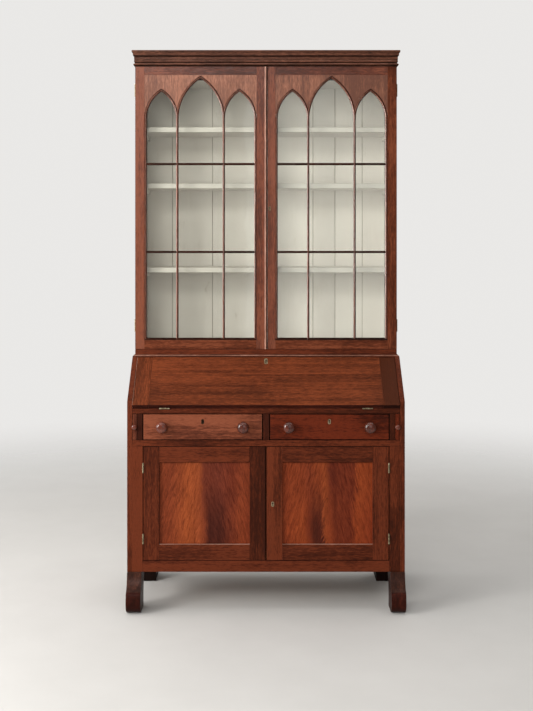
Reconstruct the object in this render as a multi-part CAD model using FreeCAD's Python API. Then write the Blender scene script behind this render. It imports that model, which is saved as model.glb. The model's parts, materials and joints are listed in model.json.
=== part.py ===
"""Bureau bookcase: a slant-fall desk over a panelled cupboard, under a bookcase with arched glazed doors.

The front faces -Y, the floor is z = 0, and the origin is under the middle of the whole piece.
Paired pieces are drawn on the left, at negative x, and mirrored to the right.
"""
import FreeCAD, Part
import math
import os

from FreeCAD import Placement, Rotation, Vector

# Desk carcase
DESK_WIDTH = 1066.0
DESK_DEPTH = 490.0
SIDE_THICK = 19.0
BACK_THICK = 10.0
BASE_BACK_BOARDS = 4
FOOT_HEIGHT = 150.0
BOTTOM_RAIL_HEIGHT = 44.0
CUPBOARD_HEIGHT = 438.0
CUPBOARD_STILE_WIDTH = 40.5
FACE_FRAME_THICK = 25.0
BOTTOM_BOARD_THICK = 19.0
CUPBOARD_SHELF_HEIGHT = 215.0
CUPBOARD_SHELF_SETBACK = 150.0
CUPBOARD_SHELF_THICK = 18.0
LOWER_RAIL_THICK = 24.0
DRAWER_RAIL_DEPTH = 60.0
DUST_BOARD_THICK = 12.0
DRAWER_OPENING_HEIGHT = 101.0
CENTRE_DIVIDER_THICK = 25.0
LOPER_DIVIDER_THICK = 21.0
BED_THICK = 20.0
DESK_ROOM_HEIGHT = 160.0
DESK_TOP_THICK = 19.0

# Feet
FRONT_FOOT_WIDTH = 56.0
FRONT_FOOT_LEDGE = 6.0
FRONT_FOOT_TOP_DEPTH = 115.0
FRONT_FOOT_SOLE_DEPTH = 66.0
TOE_REACH = 52.0
TOE_HEIGHT = 44.0
TOE_ARRIS_REACH = 46.0
TOE_ARRIS_HEIGHT = 78.0
SWEEP_HOLLOW = 10.0
HEEL_HOLLOW = 20.0
REAR_FOOT_WIDTH = 98.0
REAR_FOOT_SOLE_WIDTH = 74.0
REAR_FOOT_DEPTH = 115.0
REAR_FOOT_SHOULDER = 36.0
REAR_FOOT_HOLLOW = 8.0

# Slanted fall
SLOPE_ANGLE = 41.0
FALL_THICK = 20.0
FALL_CLEAT_WIDTH = 62.0
FALL_UPPER_BOARD_WIDTH = 92.0
FALL_SIDE_GAP = 1.0
FALL_TOP_GAP = 1.0
FALL_FRONT_GAP = 0.5
FALL_HINGE_INSET = 123.0
FALL_HINGE_LENGTH = 40.0

# Lopers, the two bars that slide out to carry the open fall
LOPER_WIDTH = 17.5
LOPER_SIDE_GAP = 0.9
LOPER_TOP_GAP = 0.4
LOPER_BOTTOM_GAP = 0.3
LOPER_BACK_GAP = 150.0

# Drawers
DRAWER_BACK_GAP = 80.0
DRAWER_FRONT_THICK = 22.0
DRAWER_SIDE_THICK = 10.0
DRAWER_BOTTOM_THICK = 6.0
DRAWER_BOTTOM_RISE = 8.0
DRAWER_GROOVE_DEPTH = 5.0
DRAWER_GAP = 2.4
DRAWER_RUN_GAP = 0.3
DRAWER_BOX_DROP = 12.0
DOVETAIL_LENGTH = 15.0
DOVETAIL_NECK = 0.42
DOVETAIL_FLARE = 0.2
DOVETAIL_COUNT = 3
STOP_SIZE = (34.0, 22.0, 6.0)
KNOB_SPACING = 311.0
KNOB_DIAMETER = 46.0
KNOB_REACH = 34.0
LOPER_KNOB_DIAMETER = 21.0
LOPER_KNOB_REACH = 17.0

# Turned knob, foot to face: radii as shares of its rim, and heights as shares of its reach
KNOB_PROFILE = ((0.44, 0.0), (0.44, 0.32), (1.0, 0.66), (1.0, 0.74), (0.74, 1.0))

# Cupboard doors
DOOR_GAP = 1.5
CUPBOARD_GAP = 3.2
CUPBOARD_DOOR_THICK = 22.0
CUPBOARD_MEMBER_WIDTH = 61.0
PANEL_RECESS = 9.0
PANEL_THICK = 9.0
PANEL_GROOVE_DEPTH = 9.0
CUPBOARD_HINGE_LENGTH = 38.0
CUPBOARD_HINGE_INSET = 83.0

# Bookcase carcase
BOOKCASE_WIDTH = 1048.0
BOOKCASE_SETBACK = 15.0
BOOKCASE_SIDE_THICK = 19.0
WAIST_RAIL_HEIGHT = 29.0
BOOKCASE_BOTTOM_THICK = 19.0
GLAZED_DOOR_HEIGHT = 1132.0
HEAD_HEIGHT = 63.0
DOOR_END_GAP = 1.0
CEILING_DROP = 54.0
BOOKCASE_TOP_THICK = 19.0
SHELF_THICK = 20.0
SHELF_SHARES = (0.302, 0.6175, 0.828)
SHELF_SETBACK = 25.0
SHELF_END_GAP = 0.3
CLEAT_THICK = 12.0
CLEAT_HEIGHT = 18.0
BACK_BOARD_SHARES = (-0.79, -0.4515, -0.028, 0.396, 0.582, 0.812)

# Glazed doors
GLAZED_DOOR_THICK = 22.0
GLAZED_STILE_WIDTH = 37.0
GLAZED_BOTTOM_RAIL = 35.5
GLAZED_TOP_RAIL = 34.0
MEETING_STILE_WIDTH = 38.0
MIDDLE_LIGHT_WIDTH = 186.0
LEVEL_BAR_SHARES = (0.398, 0.7955)
SIDE_ARCH_RISE = 115.0
MIDDLE_ARCH_RISE = 167.0
CROWN_MARGIN = 8.0
HEAD_FOOT_RISE = 20.0
BEAD_WIDTH = 9.0
BEAD_FLAT = 3.0
BEAD_SUNK = 2.0
BEAD_FIT = 0.2
LIP_THICK = 13.0
REBATE_WIDTH = 8.0
GLASS_THICK = 3.0
GLASS_EDGE_GAP = 0.8
WEB_THICK = 4.0
WEB_DEPTH = 8.0
MEETING_OFFSET = 5.0
MEETING_BEAD_WIDTH = 10.0
MEETING_BEAD_PROUD = 4.0
GLAZED_HINGE_LENGTH = 50.0
GLAZED_HINGE_INSET = 93.0

# Mouldings: how far each stands out, and its heights from its own lower edge
CORNICE_REACH = 13.0
CORNICE_FILLET = 8.0
CORNICE_SHOULDER_REACH = 9.0
CORNICE_SHOULDER_FOOT = (8.0, 42.0)
CORNICE_COVE_FOOT = (4.0, 33.5)
CORNICE_COVE_HOLLOW = 1.5
CORNICE_BAND_GROOVE = ((4.0, 25.6), (2.6, 24.2), (4.0, 22.8))
CORNICE_BAND_FOOT = (4.0, 16.5)
CORNICE_GROUND_REACH = 1.5
CORNICE_GROUND_TOP = 13.5
CORNICE_BEAD_REACH = 7.0
CORNICE_BEAD_BOTTOM = 1.5
CORNICE_BEAD_TOP = 10.5
WAIST_REACH = 9.0
WAIST_HEIGHT = 10.0
WAIST_FILLET = 3.0
WAIST_HOLLOW = 2.0

# Pigeonholes behind the fall
PIGEONHOLE_DEPTH = 150.0
PIGEONHOLE_BOARD = 8.0
PIGEONHOLE_BAYS = 5
PIGEONHOLE_SHELF_HEIGHT = 84.0

# Brass butt hinges
PIN_RADIUS = 1.5
PIN_CLEARANCE = 0.05
KNUCKLE_RADIUS = 3.5
KNUCKLE_CLEARANCE = 0.3
KNUCKLE_COUNT = 3
LEAF_THICK = 1.5
LEAF_WIDTH = 15.0
LEAF_OFFSET = 0.3
HINGE_PROUD = 1.5

# Locks, their bolts and keyholes
LOCK_THICK = 9.0
BOLT_WIDTH = 22.0
BOLT_THICK = 5.0
BOLT_LENGTH = 18.0
BOLT_SINK = 0.5
BOLT_THROW = 8.0
BOLT_CLEARANCE = 0.3
DRAWER_LOCK = (56.0, 36.0)
FALL_LOCK = (64.0, 42.0)
CUPBOARD_LOCK = (56.0, 38.0)
GLAZED_LOCK = (50.0, 20.0)
DRAWER_KEY_DROP = 25.0
FALL_KEY_DROP = 19.0
CUPBOARD_KEY_DROP = 24.0
GLAZED_KEY_DROP = 9.0
KEY_BOW_RADIUS = 3.0
KEY_SLOT_WIDTH = 2.6
KEY_SLOT_DROP = 9.0
KEY_PLATE_THICK = 2.0
KEY_PLATE_DROP = 3.0
SMALL_KEY_PLATE = (11.0, 20.0)
FALL_KEY_PLATE = (14.0, 32.0)
GLAZED_KEY_PLATE = (9.0, 17.0)

# Planes of the desk, from the floor up and from the front back
back = (DESK_DEPTH + TOE_REACH) / 2
front = back - DESK_DEPTH
half = DESK_WIDTH / 2
inside = half - SIDE_THICK
inner_back = back - BACK_THICK
cupboard_floor = FOOT_HEIGHT + BOTTOM_RAIL_HEIGHT
cupboard_ceiling = cupboard_floor + CUPBOARD_HEIGHT
drawer_floor = cupboard_ceiling + LOWER_RAIL_THICK
drawer_ceiling = drawer_floor + DRAWER_OPENING_HEIGHT
bed_top = drawer_ceiling + BED_THICK
desk_ceiling = bed_top + DESK_ROOM_HEIGHT
desk_top = desk_ceiling + DESK_TOP_THICK
stile_inner = inside - CUPBOARD_STILE_WIDTH
loper_divider_outer = inside - LOPER_WIDTH - 2 * LOPER_SIDE_GAP
drawer_outer = loper_divider_outer - LOPER_DIVIDER_THICK
drawer_inner = CENTRE_DIVIDER_THICK / 2

# Lie of the fall: its pivot, its slope and where its outer face meets the sides and the top
slope = math.radians(SLOPE_ANGLE)
fall_pivot = Vector(0, front - FALL_FRONT_GAP, bed_top + LEAF_OFFSET)
lip_y = fall_pivot.y - FALL_THICK * math.sin(slope)
lip_z = fall_pivot.z + FALL_THICK * math.cos(slope)
slope_foot = lip_z + (front - lip_y) * math.tan(slope)
slope_head = lip_y + (desk_top - lip_z) / math.tan(slope)
fall_length = (desk_top - lip_z) / math.sin(slope) - FALL_TOP_GAP
fall_half = inside - FALL_SIDE_GAP
fall_place = Placement(fall_pivot, Rotation(Vector(1, 0, 0), SLOPE_ANGLE))

# Planes of the bookcase
upper_half = BOOKCASE_WIDTH / 2
upper_inside = upper_half - BOOKCASE_SIDE_THICK
door_front = slope_head + BOOKCASE_SETBACK
door_back = door_front + GLAZED_DOOR_THICK
case_front = door_back + DOOR_GAP
door_bottom = desk_top + WAIST_RAIL_HEIGHT + DOOR_END_GAP
door_top = door_bottom + GLAZED_DOOR_HEIGHT
head_bottom = door_top + DOOR_END_GAP
bookcase_top = head_bottom + HEAD_HEIGHT
bookcase_floor = desk_top + WAIST_RAIL_HEIGHT
bookcase_ceiling = head_bottom - CEILING_DROP
shelf_tops = [
    bookcase_floor + share * (bookcase_ceiling - bookcase_floor) for share in SHELF_SHARES
]

# Glazed door's opening, bars and arches, on the left door
opening_left = GLAZED_STILE_WIDTH - upper_half
opening_right = -MEETING_STILE_WIDTH
opening_bottom = door_bottom + GLAZED_BOTTOM_RAIL
opening_top = door_top - GLAZED_TOP_RAIL
glass_front = door_front + LIP_THICK
bar_places = [
    (opening_left + opening_right + side * MIDDLE_LIGHT_WIDTH) / 2 for side in (-1, 1)
]
spring = opening_top - CROWN_MARGIN - MIDDLE_ARCH_RISE
bar_heights = [opening_bottom + share * (spring - opening_bottom) for share in LEVEL_BAR_SHARES]
bead_depth = LIP_THICK - BEAD_SUNK
left_meeting = MEETING_OFFSET - DOOR_GAP / 2
right_meeting = -MEETING_OFFSET - DOOR_GAP / 2


def block(x, y, z):
    """Box between the limits of each axis."""
    return Part.makeBox(x[1] - x[0], y[1] - y[0], z[1] - z[0], Vector(x[0], y[0], z[0]))


def mirrored(shapes):
    """The same pieces on the other side of the middle."""
    return [shape.mirror(Vector(0, 0, 0), Vector(1, 0, 0)) for shape in shapes]


def pair(shapes):
    """Pieces of the left side with their mirror images."""
    return shapes + mirrored(shapes)


def placed(shape, placement):
    """A copy of a shape carried from its own frame to its place."""
    return shape.transformed(placement.toMatrix(), copy=True)


def outline(start, *steps):
    """Flat face in XY. A step is a point for a line, or (through, end) for an arc."""
    edges = []
    here = Vector(*start, 0)
    for step in steps + (start,):
        if isinstance(step[0], tuple):
            through, end = [Vector(*point, 0) for point in step]
            edges.append(Part.Arc(here, through, end).toShape())
        else:
            end = Vector(*step, 0)
            edges.append(Part.LineSegment(here, end).toShape())
        here = end
    return Part.Face(Part.Wire(edges))


def bulge(start, end, depth):
    """Arc step to an end that stands off the straight line by a depth, to the right of the way there."""
    run = Vector(end[0] - start[0], end[1] - start[1], 0)
    middle = (Vector(*start, 0) + Vector(*end, 0)) * 0.5
    through = middle + Vector(run.y, -run.x, 0).normalize() * depth
    return (through.x, through.y), end


def along_x(face, limits):
    """Prism of an outline drawn in (y, z)."""
    turned = placed(face, Placement(Vector(limits[0], 0, 0), Rotation(Vector(1, 1, 1), 120)))
    return turned.extrude(Vector(limits[1] - limits[0], 0, 0))


def along_y(face, limits):
    """Prism of an outline drawn in (x, z)."""
    turned = placed(face, Placement(Vector(0, limits[0], 0), Rotation(Vector(1, 0, 0), 90)))
    return turned.extrude(Vector(0, limits[1] - limits[0], 0))


def along_z(face, limits):
    """Prism of an outline drawn in (x, y)."""
    lifted = placed(face, Placement(Vector(0, 0, limits[0]), Rotation()))
    return lifted.extrude(Vector(0, 0, limits[1] - limits[0]))


def cut_all(shape, tools):
    """A shape less each of the tools."""
    for tool in tools:
        shape = shape.cut(tool)
    return shape


# Hinges are drawn with the pin up the Z axis, the door's leaf at +X, and both leaves reaching to +Y


def knuckle_spans(length, first):
    """Heights of every other knuckle, with half a clearance at each shared end."""
    pitch = length / KNUCKLE_COUNT
    spans = []
    for index in range(first, KNUCKLE_COUNT, 2):
        low = index * pitch + (KNUCKLE_CLEARANCE / 2 if index else 0)
        high = (index + 1) * pitch - (KNUCKLE_CLEARANCE / 2 if index + 1 < KNUCKLE_COUNT else 0)
        spans.append((low, high))
    return spans


def barrel(radius, span):
    """Cylinder on the pin's axis."""
    return Part.makeCylinder(radius, span[1] - span[0], Vector(0, 0, span[0]))


def knuckle_notch(low, high):
    """Square notch that clears the knuckles between two heights."""
    reach = KNUCKLE_RADIUS + KNUCKLE_CLEARANCE
    return block((-reach, reach), (-reach, reach), (low - KNUCKLE_CLEARANCE, high + KNUCKLE_CLEARANCE))


def leaf_plate(length):
    """Flat plate of a door's leaf, before its knuckles."""
    return block((LEAF_OFFSET, LEAF_OFFSET + LEAF_THICK), (0, LEAF_WIDTH), (0, length))


def hinge_leaf(length, first):
    """Leaf with its own knuckles, notched round those of the other leaf."""
    leaf = cut_all(leaf_plate(length), [knuckle_notch(*span) for span in knuckle_spans(length, 1 - first)])
    for span in knuckle_spans(length, first):
        leaf = leaf.fuse(barrel(KNUCKLE_RADIUS, span))
    return leaf


def hinge(length, case_place, door_place):
    """Case leaf with its fixed pin, bored door leaf, and their rooms in the case and in the door."""
    all_through = (0, length)
    case_leaf = hinge_leaf(length, 0).fuse(barrel(PIN_RADIUS, all_through)).removeSplitter()
    door_leaf = hinge_leaf(length, 1).cut(barrel(PIN_RADIUS + PIN_CLEARANCE, all_through))
    door_room = knuckle_notch(*all_through).fuse(leaf_plate(length))
    case_leaf, case_room = mirrored([case_leaf, door_room])
    return {
        "case_leaf": placed(case_leaf, case_place),
        "door_leaf": placed(door_leaf.removeSplitter(), door_place),
        "case_room": placed(case_room, case_place),
        "door_room": placed(door_room, door_place),
    }


def upright_hinges(length, inset, pin_x, pin_y, turn, low, high):
    """Lower and upper hinge of a left door that spans the heights low to high."""
    places = [
        Placement(Vector(pin_x, pin_y, foot), Rotation(Vector(0, 0, 1), turn))
        for foot in (low + inset - length / 2, high - inset - length / 2)
    ]
    return [hinge(length, place, place) for place in places]


def fall_hinges():
    """The two hinges at the foot of the fall, with pins along X."""
    sets = []
    for side in (-1, 1):
        end = side * (fall_half - FALL_HINGE_INSET) + FALL_HINGE_LENGTH / 2
        lying = Placement(Vector(end, 0, 0), Rotation(Vector(0, 1, 0), -90))
        at_bed = Placement(fall_pivot, Rotation()).multiply(lying)
        sets.append(hinge(FALL_HINGE_LENGTH, at_bed, fall_place.multiply(lying)))
    return sets


# Locks are drawn with the bolt moving to +Z, its edge of the wood at z = 0 and the wood's back at y = 0


def bolt_block(grow, low, high):
    """Bolt's section, grown by a clearance, between two heights."""
    middle = -LOCK_THICK / 2
    wide = BOLT_WIDTH / 2 + grow
    thick = BOLT_THICK / 2 + grow
    return block((-wide, wide), (middle - thick, middle + thick), (low, high))


def lock_set(size, place):
    """Lock's case, its bolt, the room for the case, and the mortise that the thrown bolt enters."""
    length, depth = size
    body = block((-length / 2, length / 2), (-LOCK_THICK, 0), (-depth, 0))
    tail = -BOLT_SINK - BOLT_LENGTH
    room = bolt_block(BOLT_CLEARANCE, tail - BOLT_CLEARANCE, 0)
    mortise = bolt_block(BOLT_CLEARANCE, 0, BOLT_THROW + BOLT_CLEARANCE)
    return {
        "case": placed(body.cut(room), place),
        "bolt": placed(bolt_block(0, tail, -BOLT_SINK), place),
        "room": placed(body, place),
        "mortise": placed(mortise, place),
    }


def key_fitting(plate_size, wood, place):
    """Brass plate let in flush round a keyhole, and the hole for both through the wood to the lock."""
    width, height = plate_size
    radius = width / 2
    straight = (height - width) / 2
    middle = -KEY_PLATE_DROP
    face = outline(
        (-radius, middle - straight),
        ((0, middle - straight - radius), (radius, middle - straight)),
        (radius, middle + straight),
        ((0, middle + straight + radius), (-radius, middle + straight)),
    )
    plate = along_y(face, (-wood, KEY_PLATE_THICK - wood))
    bow = Part.makeCylinder(KEY_BOW_RADIUS, KEY_PLATE_THICK, Vector(0, -wood, 0), Vector(0, 1, 0))
    slot = block(
        (-KEY_SLOT_WIDTH / 2, KEY_SLOT_WIDTH / 2), (-wood, KEY_PLATE_THICK - wood), (-KEY_SLOT_DROP, 0))
    return {
        "plate": placed(cut_all(plate, [bow, slot]), place),
        "hole": placed(along_y(face, (-wood, -LOCK_THICK)), place),
    }


drawer_middle = -(drawer_outer + drawer_inner) / 2
drawer_front_top = drawer_ceiling - DRAWER_GAP
drawer_back_of_front = front + DRAWER_FRONT_THICK
drawer_lock = lock_set(DRAWER_LOCK, Placement(
    Vector(drawer_middle, drawer_back_of_front, drawer_front_top), Rotation()))
drawer_key = key_fitting(SMALL_KEY_PLATE, DRAWER_FRONT_THICK, Placement(
    Vector(drawer_middle, drawer_back_of_front, drawer_front_top - DRAWER_KEY_DROP), Rotation()))

laid = Rotation(Vector(1, 0, 0), -90)
fall_lock = lock_set(FALL_LOCK, fall_place.multiply(Placement(Vector(0, fall_length, 0), laid)))
fall_key = key_fitting(FALL_KEY_PLATE, FALL_THICK, fall_place.multiply(
    Placement(Vector(0, fall_length - FALL_KEY_DROP, 0), laid)))

to_left = Rotation(Vector(0, 1, 0), -90)
cupboard_door_back = front + CUPBOARD_DOOR_THICK
cupboard_lock_height = (cupboard_floor + cupboard_ceiling) / 2
cupboard_lock = lock_set(CUPBOARD_LOCK, Placement(
    Vector(CUPBOARD_GAP / 2, cupboard_door_back, cupboard_lock_height), to_left))
cupboard_key = key_fitting(SMALL_KEY_PLATE, CUPBOARD_DOOR_THICK, Placement(
    Vector(CUPBOARD_GAP / 2 + CUPBOARD_KEY_DROP, cupboard_door_back, cupboard_lock_height), Rotation()))
glazed_lock_height = (door_bottom + door_top) / 2
glazed_lock = lock_set(GLAZED_LOCK, Placement(
    Vector(-right_meeting, door_back, glazed_lock_height), to_left))
glazed_key = key_fitting(GLAZED_KEY_PLATE, GLAZED_DOOR_THICK, Placement(
    Vector(-right_meeting + GLAZED_KEY_DROP, door_back, glazed_lock_height), Rotation()))

cupboard_hinges = upright_hinges(
    CUPBOARD_HINGE_LENGTH, CUPBOARD_HINGE_INSET, CUPBOARD_GAP / 2 - stile_inner, front - HINGE_PROUD, 0,
    cupboard_floor, cupboard_ceiling)
glazed_hinges = upright_hinges(
    GLAZED_HINGE_LENGTH, GLAZED_HINGE_INSET, -upper_half - HINGE_PROUD, door_back + DOOR_GAP / 2, -90,
    door_bottom, door_top)
desk_hinges = fall_hinges()


def base_side():
    """Left side of the desk, cut to the slope of the fall."""
    face = outline(
        (back, FOOT_HEIGHT), (front, FOOT_HEIGHT), (front, slope_foot), (slope_head, desk_top),
        (back, desk_top))
    return along_x(face, (-half, -inside))


def back_boards(joints, reach, low, high):
    """Upright boards side by side between two sides."""
    edges = [-reach] + list(joints) + [reach]
    return [block(limits, (inner_back, back), (low, high)) for limits in zip(edges, edges[1:])]


def base_back():
    """Back boards of the desk, all of one width."""
    pitch = 2 * inside / BASE_BACK_BOARDS
    joints = [pitch * index - inside for index in range(1, BASE_BACK_BOARDS)]
    return back_boards(joints, inside, FOOT_HEIGHT, desk_top)


def desk_board(setback, top, thick):
    """Level board between the sides of the desk, from behind a front member to the back boards."""
    return block((-inside, inside), (front + setback, inner_back), (top - thick, top))


def cupboard_face_frame():
    """Stiles beside the cupboard doors, and the rail between their feet."""
    deep = (front, front + FACE_FRAME_THICK)
    stile = block((-inside, -stile_inner), deep, (FOOT_HEIGHT, cupboard_ceiling))
    stile = cut_all(stile, [each["case_room"] for each in cupboard_hinges])
    rail = block((-stile_inner, stile_inner), deep, (FOOT_HEIGHT, cupboard_floor))
    return pair([stile]) + [rail]


def drawer_rails():
    """Rail under the drawers, and the rail over them that carries the fall's hinges."""
    deep = (front, front + DRAWER_RAIL_DEPTH)
    lower = block((-inside, inside), deep, (cupboard_ceiling, drawer_floor))
    upper = block((-inside, inside), deep, (drawer_ceiling, bed_top))
    upper = cut_all(upper, [each["case_room"] for each in desk_hinges])
    upper = cut_all(upper, pair([drawer_lock["mortise"]]))
    return [lower, upper]


def drawer_dividers():
    """Middle divider between the drawers, one beside each loper, and stops for the drawer fronts."""
    high = (drawer_floor, drawer_ceiling)
    deep = (front, inner_back)
    middle = block((-drawer_inner, drawer_inner), deep, high)
    beside_loper = block((-loper_divider_outer, -drawer_outer), deep, high)
    wide, long, tall = STOP_SIZE
    face = drawer_back_of_front + DRAWER_RUN_GAP
    stops = []
    for place in (drawer_middle - KNOB_SPACING / 2, drawer_middle + KNOB_SPACING / 2):
        across = (place - wide / 2, place + wide / 2)
        stops.append(block(across, (face, face + long), (drawer_floor, drawer_floor + tall)))
    return [middle] + pair([beside_loper] + stops)


def desk_top_board():
    """Top of the desk, its front edge bevelled to meet the fall square."""
    bevel = slope_head + DESK_TOP_THICK * math.tan(slope)
    face = outline(
        (inner_back, desk_ceiling), (bevel, desk_ceiling), (slope_head, desk_top), (inner_back, desk_top))
    return along_x(face, (-inside, inside)).cut(fall_lock["mortise"])


def cupboard_shelf():
    """Shelf in the cupboard."""
    top = cupboard_floor + CUPBOARD_SHELF_HEIGHT
    return block(
        (SHELF_END_GAP - inside, inside - SHELF_END_GAP),
        (front + CUPBOARD_SHELF_SETBACK, inner_back), (top - CUPBOARD_SHELF_THICK, top))


def cleat(side_face, deep, top):
    """Bar on a left side that carries the end of a shelf."""
    return block((-side_face, CLEAT_THICK - side_face), deep, (top - CLEAT_HEIGHT, top))


def shelf_cleats():
    """Cleats of the cupboard shelf and of the bookcase shelves."""
    shelf_foot = cupboard_floor + CUPBOARD_SHELF_HEIGHT - CUPBOARD_SHELF_THICK
    bars = [cleat(inside, (front + CUPBOARD_SHELF_SETBACK, inner_back), shelf_foot)]
    for top in shelf_tops:
        bars.append(cleat(upper_inside, (case_front + SHELF_SETBACK, inner_back), top - SHELF_THICK))
    return pair(bars)


def front_foot():
    """Scroll foot: a hollow sweep out to the arris, then a round toe rolled under to the floor."""
    ledge = (front - FRONT_FOOT_LEDGE, FOOT_HEIGHT)
    arris = (front - TOE_ARRIS_REACH, TOE_ARRIS_HEIGHT)
    toe = (front - TOE_REACH, TOE_HEIGHT)
    sole = (toe[0] + TOE_HEIGHT, 0)
    heel = (front + FRONT_FOOT_SOLE_DEPTH, 0)
    top_end = (front + FRONT_FOOT_TOP_DEPTH, FOOT_HEIGHT)
    step = TOE_REACH - TOE_ARRIS_REACH
    drop = TOE_ARRIS_HEIGHT - TOE_HEIGHT
    round_radius = (step ** 2 + drop ** 2) / (2 * step)
    turn = math.asin(drop / round_radius) / 2
    brow = (toe[0] + round_radius * (1 - math.cos(turn)), TOE_HEIGHT + round_radius * math.sin(turn))
    inset = TOE_HEIGHT * (1 - math.sqrt(0.5))
    under = (toe[0] + inset, inset)
    face = outline(
        ledge, bulge(ledge, arris, -SWEEP_HOLLOW), (brow, toe), (under, sole), heel,
        bulge(heel, top_end, -HEEL_HOLLOW))
    return along_x(face, (-half, FRONT_FOOT_WIDTH - half))


def rear_foot():
    """Bracket foot with a hollow inner edge under a square shoulder."""
    sole_end = (REAR_FOOT_SOLE_WIDTH - half, 0)
    shoulder = (REAR_FOOT_WIDTH - half, FOOT_HEIGHT - REAR_FOOT_SHOULDER)
    face = outline(
        (-half, 0), sole_end, bulge(sole_end, shoulder, -REAR_FOOT_HOLLOW),
        (shoulder[0], FOOT_HEIGHT), (-half, FOOT_HEIGHT))
    return along_y(face, (back - REAR_FOOT_DEPTH, back))


def pigeonholes():
    """Upright divisions across the desk room, with a shelf in every bay but the middle one."""
    pitch = (2 * inside + PIGEONHOLE_BOARD) / PIGEONHOLE_BAYS
    deep = (inner_back - PIGEONHOLE_DEPTH, inner_back)
    shelf_top = bed_top + PIGEONHOLE_SHELF_HEIGHT
    boards = []
    for bay in range(PIGEONHOLE_BAYS):
        start = pitch * bay - inside
        end = start + pitch - PIGEONHOLE_BOARD
        if bay + 1 < PIGEONHOLE_BAYS:
            boards.append(block((end, end + PIGEONHOLE_BOARD), deep, (bed_top, desk_ceiling)))
        if bay != PIGEONHOLE_BAYS // 2:
            boards.append(block((start, end), deep, (shelf_top - PIGEONHOLE_BOARD, shelf_top)))
    return boards


def mitred_runs(profile, low):
    """Moulding across the bookcase's front and back along both sides, mitred at the corners."""
    reach = max(point.Point.x for point in profile.Vertexes)
    lifted = placed(profile, Placement(Vector(0, low, 0), Rotation()))
    high = lifted.BoundBox.YMax
    across = along_x(placed(lifted, Placement(Vector(door_front, 0, 0), Rotation(Vector(0, 1, 0), 180))),
                     (-upper_half - reach, upper_half + reach))
    beside = along_y(placed(lifted, Placement(Vector(-upper_half, 0, 0), Rotation(Vector(0, 1, 0), 180))),
                     (door_front - reach, back))
    corner = (-upper_half, door_front)
    tip = (-upper_half - reach, door_front - reach)
    front_plan = outline(corner, tip, (-tip[0], tip[1]), (-corner[0], corner[1]))
    side_plan = outline(corner, tip, (tip[0], back), (corner[0], back))
    left = beside.common(along_z(side_plan, (low, high)))
    return [across.common(along_z(front_plan, (low, high)))] + pair([left])


def cornice():
    """Cornice: a bead, a grooved band on its chamfer, a cove and a shoulder under the top fillet."""
    bead_middle = (CORNICE_BEAD_BOTTOM + CORNICE_BEAD_TOP) / 2
    ground = CORNICE_GROUND_REACH
    fillet_foot = HEAD_HEIGHT - CORNICE_FILLET
    profile = outline(
        (0, 0), (ground, 0), (ground, CORNICE_BEAD_BOTTOM),
        ((CORNICE_BEAD_REACH, bead_middle), (ground, CORNICE_BEAD_TOP)), (ground, CORNICE_GROUND_TOP),
        CORNICE_BAND_FOOT, *reversed(CORNICE_BAND_GROOVE), CORNICE_COVE_FOOT,
        bulge(CORNICE_COVE_FOOT, CORNICE_SHOULDER_FOOT, -CORNICE_COVE_HOLLOW),
        (CORNICE_SHOULDER_REACH, fillet_foot), (CORNICE_REACH, fillet_foot),
        (CORNICE_REACH, HEAD_HEIGHT), (0, HEAD_HEIGHT))
    return mitred_runs(profile, head_bottom)


def waist_moulding():
    """Cove that covers the joint between the bookcase and the desk."""
    fillet = (WAIST_REACH, WAIST_FILLET)
    profile = outline(
        (0, 0), (WAIST_REACH, 0), fillet, bulge(fillet, (0, WAIST_HEIGHT), -WAIST_HOLLOW))
    return mitred_runs(profile, desk_top)


def bookcase_side():
    """Left side of the bookcase, with its hinge leaves let into the front edge."""
    side = block((-upper_half, -upper_inside), (case_front, back), (desk_top, bookcase_top))
    return cut_all(side, [each["case_room"] for each in glazed_hinges])


def bookcase_rails():
    """Plain rails under and over the glazed doors."""
    wide = (-upper_half, upper_half)
    deep = (door_front, case_front)
    return [block(wide, deep, (desk_top, bookcase_floor)), block(wide, deep, (head_bottom, bookcase_top))]


def bookcase_board(low, thick):
    """Board across the bookcase from its front to its back boards."""
    return block((-upper_inside, upper_inside), (case_front, inner_back), (low, low + thick))


def bookcase_shelves():
    """Shelves that rest on the cleats."""
    reach = upper_inside - SHELF_END_GAP
    deep = (case_front + SHELF_SETBACK, inner_back)
    return [block((-reach, reach), deep, (top - SHELF_THICK, top)) for top in shelf_tops]


def glazed_door_frame(meeting):
    """Stiles and rails of the left glazed door, rebated at the back for the glass."""
    deep = (door_front, door_back)
    rebate = block(
        (opening_left - REBATE_WIDTH, opening_right + REBATE_WIDTH), (glass_front, door_back),
        (opening_bottom - REBATE_WIDTH, opening_top + REBATE_WIDTH))
    hanging = block((-upper_half, opening_left), deep, (door_bottom, door_top))
    hanging = cut_all(hanging, [each["door_room"] for each in glazed_hinges])
    closing = block((opening_right, meeting), deep, (door_bottom, door_top))
    bottom = block((opening_left, opening_right), deep, (door_bottom, opening_bottom))
    top = block((opening_left, opening_right), deep, (opening_top, door_top))
    return [member.cut(rebate) for member in (hanging, closing, bottom, top)]


def meeting_bead():
    """Half-round bead planted on the edge of the left glazed door."""
    edges = (left_meeting - MEETING_BEAD_WIDTH, left_meeting)
    crest = ((edges[0] + edges[1]) / 2, door_front - MEETING_BEAD_PROUD)
    face = outline((edges[0], door_front), (crest, (edges[1], door_front)))
    return along_z(face, (door_bottom, door_top))


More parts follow.
